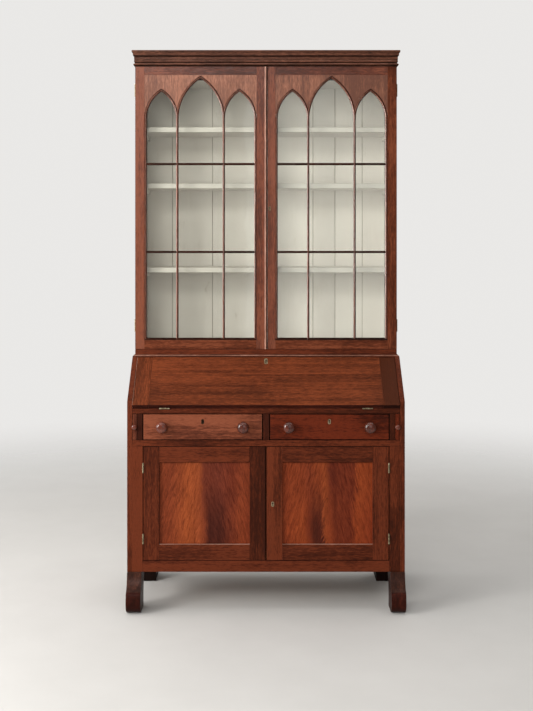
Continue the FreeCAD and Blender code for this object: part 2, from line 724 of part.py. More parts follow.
def arches():
    """Legs of the three pointed arches over a glazed door: each leg's centre, radius and limits."""
    edge = BEAD_WIDTH / 2
    lines = [opening_left + edge] + bar_places + [opening_right - edge]
    limits = [opening_left - edge] + bar_places + [opening_right + edge]
    rises = (SIDE_ARCH_RISE, MIDDLE_ARCH_RISE, SIDE_ARCH_RISE)
    legs = []
    for index, rise in enumerate(rises):
        left, right = lines[index:index + 2]
        span = (right - left) / 2
        radius = (span ** 2 + rise ** 2) / (2 * span)
        crown = (left + right) / 2
        legs.append([
            (left + radius, radius, (limits[index], crown)),
            (right - radius, radius, (crown, limits[index + 1])),
        ])
    return legs


def arched_head():
    """Board that fills the door above the arches, cut to the outer edge of their beads."""
    head = block(
        (opening_left, opening_right), (door_front, glass_front), (spring + HEAD_FOOT_RISE, opening_top))
    for legs in arches():
        discs = []
        for centre, radius, limits in legs:
            middle = Vector(centre, door_front, spring)
            outer = radius + BEAD_WIDTH / 2 + BEAD_FIT
            discs.append(Part.makeCylinder(outer, LIP_THICK, middle, Vector(0, 1, 0)))
        head = head.cut(discs[0].common(discs[1]))
    return head


def bar_face():
    """Section of a bead before the glass, glass front at y = 0, bevelled on both edges."""
    edge = BEAD_WIDTH / 2
    flat = BEAD_FLAT / 2
    shoulder = edge - flat - bead_depth
    steps = [(-edge, shoulder), (-flat, -bead_depth), (flat, -bead_depth), (edge, shoulder), (edge, 0)]
    return outline((-edge, 0), *steps)


def upright_bead(place, low, high):
    """Bead standing at a place across the door."""
    face = placed(bar_face(), Placement(Vector(place, glass_front, 0), Rotation()))
    return along_z(face, (low, high))


def level_bead(height, left, right):
    """Bead lying at a height."""
    lying = Placement(Vector(left, glass_front, height), Rotation(Vector(0, 1, 0), 90))
    turned = placed(bar_face(), lying)
    return turned.extrude(Vector(right - left, 0, 0))


def arch_beads():
    """Beads bent round the arches, mitred at the crown and over each bar."""
    beads = []
    for legs in arches():
        for inward, (centre, radius, limits) in zip((1, -1), legs):
            foot = Vector(centre - inward * radius, glass_front, spring)
            face = placed(bar_face(), Placement(foot, Rotation()))
            sweep = face.revolve(Vector(centre, glass_front, spring), Vector(0, inward, 0), 90)
            beads.append(sweep.common(block(limits, (door_front, glass_front), (spring, door_top))))
    return beads


def glazing_bars():
    """Edge beads, arch beads and the bars, whose beads are scribed together over webs that part the panes."""
    edge = BEAD_WIDTH / 2
    stem = WEB_THICK / 2
    web_depth = (glass_front, glass_front + WEB_DEPTH)
    sill = level_bead(opening_bottom + edge, opening_left, opening_right)
    jambs = [
        upright_bead(place, opening_bottom + edge, spring).cut(sill)
        for place in (opening_left + edge, opening_right - edge)
    ]
    uprights = []
    for place in bar_places:
        web = block((place - stem, place + stem), web_depth, (opening_bottom, opening_top))
        bead = upright_bead(place, opening_bottom + edge, spring).cut(sill)
        uprights.append(bead.fuse(web).removeSplitter())
    levels = []
    for height in bar_heights:
        web = block((opening_left, opening_right), web_depth, (height - stem, height + stem))
        bead = level_bead(height, opening_left + edge, opening_right - edge)
        levels += cut_all(bead.fuse(web).removeSplitter(), jambs + uprights).Solids
    return [sill] + jambs + arch_beads() + uprights + levels


def panes():
    """Nine panes behind the bars, each resting in a rebate or against a web."""
    web = WEB_THICK / 2 + GLASS_EDGE_GAP
    reach = REBATE_WIDTH - GLASS_EDGE_GAP
    lefts = [opening_left - reach] + [place + web for place in bar_places]
    rights = [place - web for place in bar_places] + [opening_right + reach]
    lows = [opening_bottom - reach] + [height + web for height in bar_heights]
    highs = [height - web for height in bar_heights] + [opening_top + reach]
    deep = (glass_front, glass_front + GLASS_THICK)
    return [block(across, deep, up) for up in zip(lows, highs) for across in zip(lefts, rights)]


def cupboard_door(meeting):
    """Stiles, rails and panel of the left cupboard door."""
    deep = (front, cupboard_door_back)
    left = CUPBOARD_GAP - stile_inner
    low = cupboard_floor + DOOR_END_GAP
    high = cupboard_ceiling - DOOR_END_GAP
    inner = (left + CUPBOARD_MEMBER_WIDTH, meeting - CUPBOARD_MEMBER_WIDTH)
    field = (low + CUPBOARD_MEMBER_WIDTH, high - CUPBOARD_MEMBER_WIDTH)
    panel = block(
        (inner[0] - PANEL_GROOVE_DEPTH, inner[1] + PANEL_GROOVE_DEPTH),
        (front + PANEL_RECESS, front + PANEL_RECESS + PANEL_THICK),
        (field[0] - PANEL_GROOVE_DEPTH, field[1] + PANEL_GROOVE_DEPTH))
    hanging = block((left, inner[0]), deep, (low, high))
    hanging = cut_all(hanging, [each["door_room"] for each in cupboard_hinges])
    closing = block((inner[1], meeting), deep, (low, high))
    bottom = block(inner, deep, (low, field[0]))
    top = block(inner, deep, (field[1], high))
    return [member.cut(panel) for member in (hanging, closing, bottom, top)], panel


def fall_pieces():
    """Boards and end cleats of the fall, drawn flat, inner face at z = 0, then laid on the slope."""
    thick = (0, FALL_THICK)
    cleat_inner = fall_half - FALL_CLEAT_WIDTH
    joint = fall_length - FALL_UPPER_BOARD_WIDTH
    boards = [
        block((-cleat_inner, cleat_inner), run, thick) for run in ((0, joint), (joint, fall_length))
    ]
    ends = pair([block((-fall_half, -cleat_inner), (0, fall_length), thick)])
    rooms = [each["door_room"] for each in desk_hinges]
    rooms += [fall_lock["room"], fall_key["hole"]]
    boards = [cut_all(placed(board, fall_place), rooms) for board in boards]
    return boards, [placed(end, fall_place) for end in ends]


def turned_knob(diameter, reach, place):
    """Mushroom knob turned about -Y from the face at y = 0, then set in its place."""
    rim = diameter / 2
    profile = [(rim * radius, -reach * height) for radius, height in KNOB_PROFILE]
    face = outline((0, 0), *profile, (0, -reach))
    return placed(face.revolve(Vector(0, 0, 0), Vector(0, 1, 0), 360), place)


def loper():
    """Left loper and its knob."""
    low = drawer_floor + LOPER_BOTTOM_GAP
    high = drawer_ceiling - LOPER_TOP_GAP
    outer = -inside + LOPER_SIDE_GAP
    bar = block((outer, outer + LOPER_WIDTH), (front, inner_back - LOPER_BACK_GAP), (low, high))
    place = Placement(Vector(outer + LOPER_WIDTH / 2, front, (low + high) / 2), Rotation())
    return [bar, turned_knob(LOPER_KNOB_DIAMETER, LOPER_KNOB_REACH, place)]


drawer_sides = (DRAWER_GAP - drawer_outer, -drawer_inner - DRAWER_GAP)
drawer_walls = (
    (drawer_sides[0], drawer_sides[0] + DRAWER_SIDE_THICK),
    (drawer_sides[1] - DRAWER_SIDE_THICK, drawer_sides[1]),
)
drawer_box_low = drawer_floor + DRAWER_RUN_GAP
drawer_box_high = drawer_ceiling - DRAWER_BOX_DROP
drawer_back_face = inner_back - DRAWER_BACK_GAP
knob_height = (drawer_floor + drawer_ceiling) / 2
knob_places = [
    Placement(Vector(drawer_middle + side * KNOB_SPACING / 2, front, knob_height), Rotation())
    for side in (-1, 1)
]


def drawer_bottom():
    """Bottom board of the left drawer, set in grooves of the front and sides."""
    low = drawer_box_low + DRAWER_BOTTOM_RISE
    edge = DRAWER_SIDE_THICK - DRAWER_GROOVE_DEPTH
    return block(
        (drawer_sides[0] + edge, drawer_sides[1] - edge),
        (drawer_back_of_front - DRAWER_GROOVE_DEPTH, drawer_back_face), (low, low + DRAWER_BOTTOM_THICK))


def drawer_tails(across):
    """Dovetails on the front end of a drawer's side, lapped by the drawer front."""
    low = drawer_box_low + DRAWER_BOTTOM_RISE + DRAWER_BOTTOM_THICK
    pitch = (drawer_box_high - low) / DOVETAIL_COUNT
    neck = pitch * DOVETAIL_NECK / 2
    tip = neck + pitch * DOVETAIL_FLARE / 2
    end = drawer_back_of_front - DOVETAIL_LENGTH
    tails = []
    for index in range(DOVETAIL_COUNT):
        middle = low + pitch * (index + 1 / 2)
        face = outline(
            (drawer_back_of_front, middle - neck), (end, middle - tip), (end, middle + tip),
            (drawer_back_of_front, middle + neck))
        tails.append(along_x(face, across))
    return tails


def drawer_front():
    """Left drawer's front, with rooms for its bottom, dovetails, lock and keyhole."""
    board = block(
        drawer_sides, (front, drawer_back_of_front), (drawer_floor + DRAWER_GAP, drawer_front_top))
    rooms = [drawer_bottom(), drawer_lock["room"], drawer_key["hole"]]
    for across in drawer_walls:
        rooms += drawer_tails(across)
    return cut_all(board, rooms)


def drawer_box():
    """Sides, back and bottom of the left drawer."""
    bottom = drawer_bottom()
    left, right = drawer_sides
    high = (drawer_box_low, drawer_box_high)
    deep = (drawer_back_of_front, drawer_back_face)
    sides = [
        block(across, deep, high).multiFuse(drawer_tails(across)).removeSplitter().cut(bottom)
        for across in drawer_walls
    ]
    rear = block(
        (left + DRAWER_SIDE_THICK, right - DRAWER_SIDE_THICK),
        (drawer_back_face - DRAWER_SIDE_THICK, drawer_back_face),
        (drawer_box_low + DRAWER_BOTTOM_RISE + DRAWER_BOTTOM_THICK, drawer_box_high))
    return sides + [rear, bottom]


nodes = {}

# Desk carcase
nodes["base_side_left"] = [base_side()]
nodes["base_side_right"] = mirrored([base_side()])
nodes["base_back_boards"] = base_back()
nodes["base_bottom_board"] = [desk_board(FACE_FRAME_THICK, cupboard_floor, BOTTOM_BOARD_THICK)]
nodes["cupboard_face_frame"] = cupboard_face_frame()
nodes["drawer_rails"] = drawer_rails()
nodes["drawer_dividers"] = drawer_dividers()
nodes["dust_board"] = [desk_board(DRAWER_RAIL_DEPTH, drawer_floor, DUST_BOARD_THICK)]
nodes["writing_bed"] = [desk_board(DRAWER_RAIL_DEPTH, bed_top, BED_THICK)]
nodes["desk_top_board"] = [desk_top_board()]
nodes["cupboard_shelf"] = [cupboard_shelf()]
nodes["shelf_cleats"] = shelf_cleats()
nodes["feet"] = pair([front_foot(), rear_foot()])
nodes["pigeonholes"] = pigeonholes()

# Bookcase carcase
nodes["waist_moulding"] = waist_moulding()
nodes["bookcase_side_left"] = [bookcase_side()]
nodes["bookcase_side_right"] = mirrored([bookcase_side()])
nodes["bookcase_top_and_bottom"] = [
    bookcase_board(bookcase_ceiling, BOOKCASE_TOP_THICK),
    bookcase_board(bookcase_floor - BOOKCASE_BOTTOM_THICK, BOOKCASE_BOTTOM_THICK),
]
nodes["bookcase_rails"] = bookcase_rails()
back_joints = [share * upper_inside for share in BACK_BOARD_SHARES]
nodes["bookcase_back_boards"] = back_boards(back_joints, upper_inside, desk_top, bookcase_top)
nodes["bookcase_shelves"] = bookcase_shelves()
nodes["cornice"] = cornice()

# Hinges on the carcase
paired_leaves = pair([each["case_leaf"] for each in cupboard_hinges + glazed_hinges])
nodes["case_hinge_leaves_with_pins"] = paired_leaves + [each["case_leaf"] for each in desk_hinges]

# Glazed doors
left_frame = glazed_door_frame(left_meeting)
left_frame[1] = left_frame[1].cut(glazed_lock["mortise"])
right_frame = mirrored(glazed_door_frame(right_meeting))
right_frame[1] = cut_all(right_frame[1], [glazed_lock["room"], glazed_key["hole"]])
nodes["left_glazed_door_frame"] = left_frame + [meeting_bead()]
nodes["right_glazed_door_frame"] = right_frame
glazed_parts = {
    "arched_head": [arched_head()],
    "bars": glazing_bars(),
    "panes": panes(),
    "hinge_leaves": [each["door_leaf"] for each in glazed_hinges],
}
for part_name, solids in glazed_parts.items():
    nodes["left_glazed_door_" + part_name] = solids
    nodes["right_glazed_door_" + part_name] = mirrored(solids)
nodes["glazed_door_lock"] = [glazed_lock["case"], glazed_key["plate"]]
nodes["glazed_door_lock_bolt"] = [glazed_lock["bolt"]]

# Fall
fall_boards, fall_ends = fall_pieces()
nodes["fall_boards"] = fall_boards
nodes["fall_end_cleats"] = fall_ends
nodes["fall_lock"] = [fall_lock["case"], fall_key["plate"]]
nodes["fall_lock_bolt"] = [fall_lock["bolt"]]
nodes["fall_hinge_leaves"] = [each["door_leaf"] for each in desk_hinges]

# Lopers and drawers
drawer_parts = {
    "loper_bar": loper(),
    "drawer_front": [drawer_front()],
    "drawer_box": drawer_box(),
    "drawer_knobs": [turned_knob(KNOB_DIAMETER, KNOB_REACH, place) for place in knob_places],
    "drawer_lock": [drawer_lock["case"], drawer_key["plate"]],
    "drawer_lock_bolt": [drawer_lock["bolt"]],
}
for part_name, solids in drawer_parts.items():
    nodes["left_" + part_name] = solids
    nodes["right_" + part_name] = mirrored(solids)

# Cupboard doors
frame, panel = cupboard_door(-CUPBOARD_GAP / 2)
right_members = mirrored(frame)
frame[1] = frame[1].cut(cupboard_lock["mortise"])
right_members[1] = cut_all(right_members[1], [cupboard_lock["room"], cupboard_key["hole"]])
nodes["left_cupboard_door_frame"] = frame
nodes["right_cupboard_door_frame"] = right_members
nodes["left_cupboard_door_panel"] = [panel]
nodes["right_cupboard_door_panel"] = mirrored([panel])
cupboard_leaves = [each["door_leaf"] for each in cupboard_hinges]
nodes["left_cupboard_door_hinge_leaves"] = cupboard_leaves
nodes["right_cupboard_door_hinge_leaves"] = mirrored(cupboard_leaves)
nodes["cupboard_lock"] = [cupboard_lock["case"], cupboard_key["plate"]]
nodes["cupboard_lock_bolt"] = [cupboard_lock["bolt"]]

os.makedirs("parts", exist_ok=True)
for name, shapes in nodes.items():
    solids = [solid for shape in shapes for solid in shape.Solids]
    Part.makeCompound(solids).exportStep(os.path.join("parts", name + ".step"))
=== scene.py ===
"""Looks of the bureau bookcase: eased and grained boards, painted shelves, old glass, brass and turned knobs."""

import json
import math
import random

import bmesh
import bpy
from mathutils import Matrix, Vector

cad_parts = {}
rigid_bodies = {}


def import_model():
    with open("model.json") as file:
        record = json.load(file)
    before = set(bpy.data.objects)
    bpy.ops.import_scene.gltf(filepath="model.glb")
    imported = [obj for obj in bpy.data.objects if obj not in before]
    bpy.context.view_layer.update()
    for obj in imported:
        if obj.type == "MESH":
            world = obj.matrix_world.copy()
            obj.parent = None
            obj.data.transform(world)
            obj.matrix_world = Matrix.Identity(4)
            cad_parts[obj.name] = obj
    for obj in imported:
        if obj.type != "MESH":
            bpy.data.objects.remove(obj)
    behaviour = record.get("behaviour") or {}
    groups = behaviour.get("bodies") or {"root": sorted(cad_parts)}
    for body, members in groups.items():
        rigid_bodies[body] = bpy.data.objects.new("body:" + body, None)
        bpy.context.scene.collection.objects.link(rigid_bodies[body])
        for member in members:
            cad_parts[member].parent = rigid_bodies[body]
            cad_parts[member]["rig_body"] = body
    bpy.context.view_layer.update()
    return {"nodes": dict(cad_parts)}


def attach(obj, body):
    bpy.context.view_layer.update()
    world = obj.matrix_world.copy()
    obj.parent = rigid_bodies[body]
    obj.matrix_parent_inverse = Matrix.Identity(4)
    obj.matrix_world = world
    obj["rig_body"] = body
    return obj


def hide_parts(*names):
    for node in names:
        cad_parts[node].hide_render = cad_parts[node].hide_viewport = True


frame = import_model()
nodes = frame["nodes"]

# Sizes and heights, in metres.
EASED_EDGE = 0.0008
FOOT_EASE = 0.0015
CLEAT_EASE = 0.0012
BACK_BOARD_EASE = 0.0016
BAR_EASE = 0.0004
BRASS_EASE = 0.0003
SHORT_EDGE = 0.004
BEAD_BEVEL = 0.003
BEAD_LIFT = 0.0013
MEETING_TAPER = 0.0012
MEETING_REACH = 0.001
BEAD_SEAT = 0.0002
LEDGE_REACH = 0.001
CLEAT_ARRIS = 0.002
CEILING_HEIGHT = 2.0745
PAINT_EDGE = 0.002
TOE_HEIGHT = 0.085
FACE_FRAME_REACH = 0.48
PANEL_WIDTH = 0.348
PANEL_HEIGHT = 0.314
PANEL_LOW = 0.256
LEFT_PANEL_EDGE = -0.410
RIGHT_PANEL_EDGE = 0.062

SLOPE = math.radians(41.0)
FALL_TURN = Matrix.Rotation(-SLOPE, 3, "X")
FLAT_ANGLE = math.radians(0.2)
CORNER_ANGLE = math.radians(30)
BOARD_SMOOTHING = math.radians(15)
KNOB_SMOOTHING = math.radians(50)

# How far a face's normal points to a side for the face to count as turned to it.
TURNED = 0.3
FACING = 0.5
SQUARE_ON = 0.9
NEARLY_FLUSH = 0.95
EDGE_ON = 0.1
MOULDING_UNDERSIDE = 0.35
MOULDING_LEDGE = 0.6
LEVEL_BAR = 0.4
UPRIGHT_BAR = 0.2
ARRIS_LEAN = 0.2

WELD_DIGITS = 5
GRAIN_SHIFT = 20.0
MIDDLE_TONE = 0.5
BOARD_TONE_CHANCE = 0.16
KNOB_TONE_CHANCE = 0.2


# ---------------------------------------------------------------- shader helpers

def tint(red, green, blue):
    """Colour socket value of a colour given as it shows on a screen, 0 to 255."""
    shown = [c / 255.0 for c in (red, green, blue)]
    return [c / 12.92 if c <= 0.04045 else ((c + 0.055) / 1.055) ** 2.4 for c in shown] + [1.0]


def scaled(colour, share):
    """Socket value of a screen colour made darker or paler by a share."""
    return [min(1.0, c * share) for c in tint(*colour)[:3]] + [1.0]


def new_finish(name):
    """Empty material, with its node tree and its surface shader."""
    finish = bpy.data.materials.new(name)
    finish.use_nodes = True
    return finish, finish.node_tree, finish.node_tree.nodes["Principled BSDF"]


def fill(tree, node, sockets):
    """Sets or links the sockets of a shader node."""
    for name, value in sockets.items():
        if isinstance(value, bpy.types.NodeSocket):
            tree.links.new(value, node.inputs[name])
        else:
            node.inputs[name].default_value = value


def put(tree, kind, sockets=None, **settings):
    """Shader node with its settings and sockets."""
    made = tree.nodes.new("ShaderNode" + kind)
    for name, value in settings.items():
        setattr(made, name, value)
    fill(tree, made, sockets or {})
    return made


def retouch(finish, sockets):
    """Sets further sockets on the surface of a finish."""
    fill(finish.node_tree, finish.node_tree.nodes["Principled BSDF"], sockets)


def attribute(tree, name, output="Fac"):
    return put(tree, "Attribute", attribute_name=name).outputs[output]


def place_on_piece(tree):
    return put(tree, "TexCoord").outputs["Object"]


def stretched_noise(tree, place, stretch, detail=2.0, roughness=0.5, distortion=0.0, shift=(0, 0, 0)):
    """Noise whose cells are 1 / stretch metres in each direction."""
    mapped = put(tree, "Mapping", {"Vector": place, "Scale": stretch, "Location": shift})
    cells = {"Vector": mapped.outputs["Vector"], "Scale": 1.0, "Detail": detail}
    cells.update({"Roughness": roughness, "Distortion": distortion})
    return put(tree, "TexNoise", cells).outputs["Fac"]


def reckon(tree, operation, *values):
    """Result of one step of arithmetic on values or sockets."""
    return put(tree, "Math", dict(enumerate(values)), operation=operation).outputs["Value"]


def product(tree, first, second):
    return reckon(tree, "MULTIPLY", first, second)


def sums(tree, *terms):
    """Sum of (value, weight) terms."""
    total = 0.0
    for value, weight in terms:
        total = reckon(tree, "MULTIPLY_ADD", value, weight, total)
    return total


def spread(tree, value, low, high, to_low=0.0, to_high=1.0):
    """Value moved from one range to another and held there."""
    sockets = {"Value": value, "From Min": low, "From Max": high, "To Min": to_low, "To Max": to_high}
    return put(tree, "MapRange", sockets, interpolation_type="SMOOTHSTEP").outputs["Result"]


def ramp(tree, value, *stops):
    """Colours by value, each stop a place and a screen colour."""
    made = put(tree, "ValToRGB", {"Fac": value})
    elements = made.color_ramp.elements
    elements[0].position = stops[0][0]
    elements[1].position = stops[-1][0]
    for place, _ in stops[1:-1]:
        elements.new(place)
    for element, (_, colour) in zip(elements, stops):
        element.color = tint(*colour)
    return made.outputs["Color"]


def blended(tree, share, first, second, mode="MIX"):
    """One colour over another."""
    sockets = {0: share, 6: first, 7: second}
    return put(tree, "Mix", sockets, data_type="RGBA", blend_type=mode).outputs[2]


def bumped(tree, height, strength, distance):
    """Normal of a surface with a fine relief."""
    return put(tree, "Bump", {"Height": height, "Strength": strength, "Distance": distance}).outputs["Normal"]


# ---------------------------------------------------------------- finishes

def wood_lines(tree, grain, figure):
    """Streaks, broad figure, flecks and fibres of a board in one value, and its fibres and pores by themselves."""
    streaks = stretched_noise(tree, grain, (1.6, 60.0, 60.0), detail=5.0, roughness=0.6, distortion=0.3)
    cloud = stretched_noise(
        tree, grain, (2.6, 7.0, 7.0), detail=3.0, roughness=0.55, distortion=0.8, shift=(7.0, 3.0, 1.0))
    flecks = stretched_noise(
        tree, grain, (40.0, 220.0, 220.0), detail=3.0, roughness=0.7, distortion=0.2, shift=(2.0, 6.0, 4.0))
    fibres = stretched_noise(tree, grain, (16.0, 560.0, 560.0), roughness=0.6)
    pores = stretched_noise(tree, grain, (60.0, 1500.0, 1500.0), detail=1.0, shift=(3.0, 9.0, 5.0))
    lines = sums(tree, (streaks, 0.4), (cloud, 0.42 * figure), (flecks, 0.5), (fibres, 0.16))
    return lines, fibres, spread(tree, pores, 0.56, 0.66)


def polish(tree, surface, grain, colour, rough, shine, lines, fibres, pores, relief=0.3):
    """Colour, gloss and relief of polished wood: smeared wax, open pores, fibres just felt."""
    smear = stretched_noise(tree, grain, (9.0, 14.0, 14.0), detail=4.0, roughness=0.6, shift=(1.0, 4.0, 8.0))
    gloss = sums(tree, (smear, 0.22), (pores, 0.2), (fibres, 0.06))
    height = sums(tree, (fibres, 0.35), (pores, -0.9), (lines, 0.5))
    fill(tree, surface, {
        "Base Color": colour,
        "Roughness": reckon(tree, "ADD", gloss, rough - 0.14),
        "Specular IOR Level": shine,
        "Normal": bumped(tree, height, relief, 0.0004)})


def mahogany(name, dark, middle, pale, rough=0.42, figure=1.0, shine=0.06, relief=0.3):
    """Old polished mahogany: streaks along each board, its own tone, open pores, and paler rubbed arrises that also
    stand in for a painted highlight along the edges.
    """
    finish, tree, surface = new_finish(name)
    grain = attribute(tree, "grain", "Vector")
    lines, fibres, pores = wood_lines(tree, grain, figure)
    toned = sums(tree, (lines, 1.0), (attribute(tree, "tone"), 0.34))
    centre, reach = 0.7 + 0.21 * figure, 0.12
    colour = ramp(tree, toned, (centre - reach, dark), (centre, middle), (centre + reach, pale))
    colour = blended(tree, product(tree, pores, 0.45), colour, scaled(dark, 0.45))
    # Eased edges made paler: rubbing wear, and also a painted highlight along the edges.
    rubbed = spread(tree, stretched_noise(tree, grain, (24.0, 40.0, 40.0), detail=3.0), 0.36, 0.62)
    wear_and_sheen = product(tree, attribute(tree, "worn"), rubbed)
    colour = blended(tree, product(tree, wear_and_sheen, 0.25), colour, scaled(pale, 1.2))
    polish(tree, surface, grain, colour, rough, shine, lines, fibres, pores, relief)
    return finish


def flame_panel(name, left, heart, foot_bands, head_bands):
    """Flame-cut panel: bands that change from its foot to its head, and short lines that rise to its heart."""
    finish, tree, surface = new_finish(name)
    place = place_on_piece(tree)
    grain = attribute(tree, "grain", "Vector")
    lines, fibres, pores = wood_lines(tree, grain, 0.6)
    parts = put(tree, "SeparateXYZ", {"Vector": place})
    height = parts.outputs["Z"]
    across = reckon(tree, "MULTIPLY_ADD", parts.outputs["X"], 1.0 / PANEL_WIDTH, -left / PANEL_WIDTH)
    off = reckon(tree, "ABSOLUTE", reckon(tree, "SUBTRACT", across, heart))
    rise = sums(tree, (off, PANEL_WIDTH), (height, 0.3))
    leaning = put(tree, "CombineXYZ", {"X": height, "Y": rise, "Z": left}).outputs["Vector"]
    feather = stretched_noise(tree, leaning, (20.0, 130.0, 1.0), detail=4.0, roughness=0.65, distortion=0.9)
    sway = stretched_noise(
        tree, place, (4.0, 4.0, 5.0), detail=3.0, roughness=0.55, distortion=0.4, shift=(2.0, 0.0, 5.0))
    swayed = reckon(tree, "SUBTRACT", sums(tree, (across, 1.0), (sway, 0.16), (feather, 0.16)), 0.16)
    up = spread(tree, height, PANEL_LOW + 0.15 * PANEL_HEIGHT, PANEL_LOW + 0.85 * PANEL_HEIGHT)
    colour = blended(tree, up, ramp(tree, swayed, *foot_bands), ramp(tree, swayed, *head_bands))
    shade = sums(tree, (lines, 0.4), (feather, 0.6))
    shade = ramp(tree, shade, (0.4, (166, 150, 142)), (0.66, (255, 252, 248)))
    colour = blended(tree, 1.0, colour, shade, "MULTIPLY")
    colour = blended(tree, product(tree, pores, 0.4), colour, tint(38, 16, 10))
    polish(tree, surface, grain, colour, 0.42, 0.06, lines, fibres, pores)
    return finish


def bare_pine(name):
    """Unpolished carcase pine, gone brown and grey with age."""
    finish, tree, surface = new_finish(name)
    grain = attribute(tree, "grain", "Vector")
    growth = stretched_noise(tree, grain, (0.8, 55.0, 55.0), detail=4.0, distortion=0.6)
    fibres = stretched_noise(tree, grain, (12.0, 480.0, 480.0), roughness=0.6)
    stain = stretched_noise(
        tree, grain, (5.0, 7.0, 7.0), detail=5.0, roughness=0.6, distortion=0.4, shift=(4.0, 2.0, 1.0))
    toned = sums(tree, (growth, 0.6), (fibres, 0.15), (attribute(tree, "tone"), 0.25))
    colour = ramp(tree, toned, (0.3, (92, 62, 38)), (0.5, (142, 104, 66)), (0.72, (176, 138, 94)))
    colour = blended(tree, spread(tree, stain, 0.5, 0.72, 0.0, 0.55), colour, tint(84, 66, 50))
    colour = blended(tree, product(tree, attribute(tree, "worn"), 0.4), colour, tint(74, 52, 36))
    fill(tree, surface, {
        "Base Color": colour,
        "Roughness": spread(tree, growth, 0.3, 0.7, 0.88, 0.7),
        "Specular IOR Level": 0.3,
        "Normal": bumped(tree, sums(tree, (growth, 0.6), (fibres, 0.5)), 0.4, 0.0006)})
    return finish


def shelf_paint(name, dull=1.0):
    """Old off-white distemper: brush lines along each board, grime in the joints, and unpainted wood over the ceiling,
    coloured very dark as painted shade as well.
    """
    finish, tree, surface = new_finish(name)
    height = put(tree, "SeparateXYZ", {"Vector": place_on_piece(tree)}).outputs["Z"]
    grain = attribute(tree, "grain", "Vector")
    brush = stretched_noise(tree, grain, (4.0, 330.0, 330.0), detail=4.0, roughness=0.6)
    cloud = stretched_noise(tree, grain, (4.0, 5.0, 5.0), detail=4.0, roughness=0.6, distortion=0.5)
    toned = sums(tree, (brush, 0.3), (cloud, 0.5), (attribute(tree, "tone"), 0.3))
    colour = ramp(tree, toned, (0.28, (207, 200, 193)), (0.52, (229, 225, 223)), (0.8, (237, 235, 233)))
    marks = stretched_noise(tree, grain, (14.0, 30.0, 30.0), detail=5.0, roughness=0.7)
    colour = blended(tree, spread(tree, marks, 0.62, 0.75, 0.0, 0.35), colour, tint(176, 167, 150))
    colour = blended(tree, 1.0, colour, [dull, dull, dull, 1.0], "MULTIPLY")
    grime = product(tree, attribute(tree, "worn"), spread(tree, cloud, 0.3, 0.6, 0.9, 0.45))
    colour = blended(tree, grime, colour, tint(120, 106, 86))
    # Over the ceiling: unpainted wood, darkened also as painted shade for that enclosed space.
    bare_and_shaded_top = spread(tree, height, CEILING_HEIGHT - PAINT_EDGE, CEILING_HEIGHT + PAINT_EDGE)
    fill(tree, surface, {
        "Base Color": blended(tree, bare_and_shaded_top, colour, tint(48, 34, 25)),
        "Roughness": spread(tree, cloud, 0.3, 0.7, 0.5, 0.68),
        "Normal": bumped(tree, sums(tree, (brush, 1.0), (cloud, 0.4)), 0.25, 0.0004)})
    return finish


def old_glass(name):
    """Thin drawn window glass: clear, a little green, with slow waves and a few dusty smears."""
    finish, tree, surface = new_finish(name)
    place = place_on_piece(tree)
    waves = stretched_noise(tree, place, (9.0, 9.0, 4.0), roughness=0.4, distortion=0.6)
    ripple = bumped(tree, waves, 0.12, 0.004)
    dust = stretched_noise(tree, place, (7.0, 7.0, 4.0), detail=3.0, distortion=0.5, shift=(3.0, 0.0, 6.0))
    clear = put(tree, "BsdfTransparent", {"Color": tint(250, 250, 246)})
    shine = put(tree, "BsdfGlossy", {"Roughness": 0.03, "Normal": ripple})
    film = put(tree, "BsdfDiffuse", {"Color": tint(214, 216, 212)})
    slant = put(tree, "LayerWeight", {"Blend": 0.5, "Normal": ripple}).outputs["Facing"]
    glance = reckon(tree, "MULTIPLY_ADD", reckon(tree, "POWER", slant, 5.0), 0.96, 0.04)
    bright = put(tree, "MixShader", {0: glance, 1: clear.outputs["BSDF"], 2: shine.outputs["BSDF"]})
    dusty = spread(tree, dust, 0.4, 0.8, 0.0, 0.02)
    whole = put(tree, "MixShader", {0: dusty, 1: bright.outputs["Shader"], 2: film.outputs["BSDF"]})
    tree.links.new(whole.outputs["Shader"], tree.nodes["Material Output"].inputs["Surface"])
    tree.nodes.remove(surface)
    return finish


def old_brass(name, bright, dull, rough):
    """Handled brass: bright where rubbed, brown in the low places, with fine scratches."""
    finish, tree, surface = new_finish(name)
    place = place_on_piece(tree)
    tarnish = stretched_noise(tree, place, (90.0, 90.0, 90.0), detail=5.0, roughness=0.65, distortion=0.5)
    scratch = stretched_noise(tree, place, (400.0, 2600.0, 2600.0))
    gloss = sums(tree, (tarnish, -0.3), (scratch, 0.2))
    fill(tree, surface, {
        "Base Color": ramp(tree, tarnish, (0.36, dull), (0.6, bright)),
        "Roughness": reckon(tree, "ADD", gloss, rough + 0.1),
        "Metallic": 1.0,
        "Normal": bumped(tree, sums(tree, (tarnish, 0.6), (scratch, 0.4)), 0.2, 0.0002)})
    return finish


case_wood = mahogany("case_mahogany", (49, 19, 9), (72, 30, 15), (94, 42, 23))
cornice_wood = mahogany(
    "cornice_mahogany", (56, 32, 22), (85, 50, 36), (108, 67, 49), rough=0.32, shine=0.08)
door_wood = mahogany(
    "glazed_door_mahogany", (60, 27, 15), (89, 43, 26), (115, 61, 40), rough=0.3, shine=0.23)
dull_door_wood = mahogany("dull_door_mahogany", (62, 28, 15), (90, 43, 25), (114, 60, 38))
head_wood = mahogany(
    "arched_head_mahogany", (90, 51, 35), (121, 74, 53), (146, 94, 71), rough=0.32, shine=0.28)
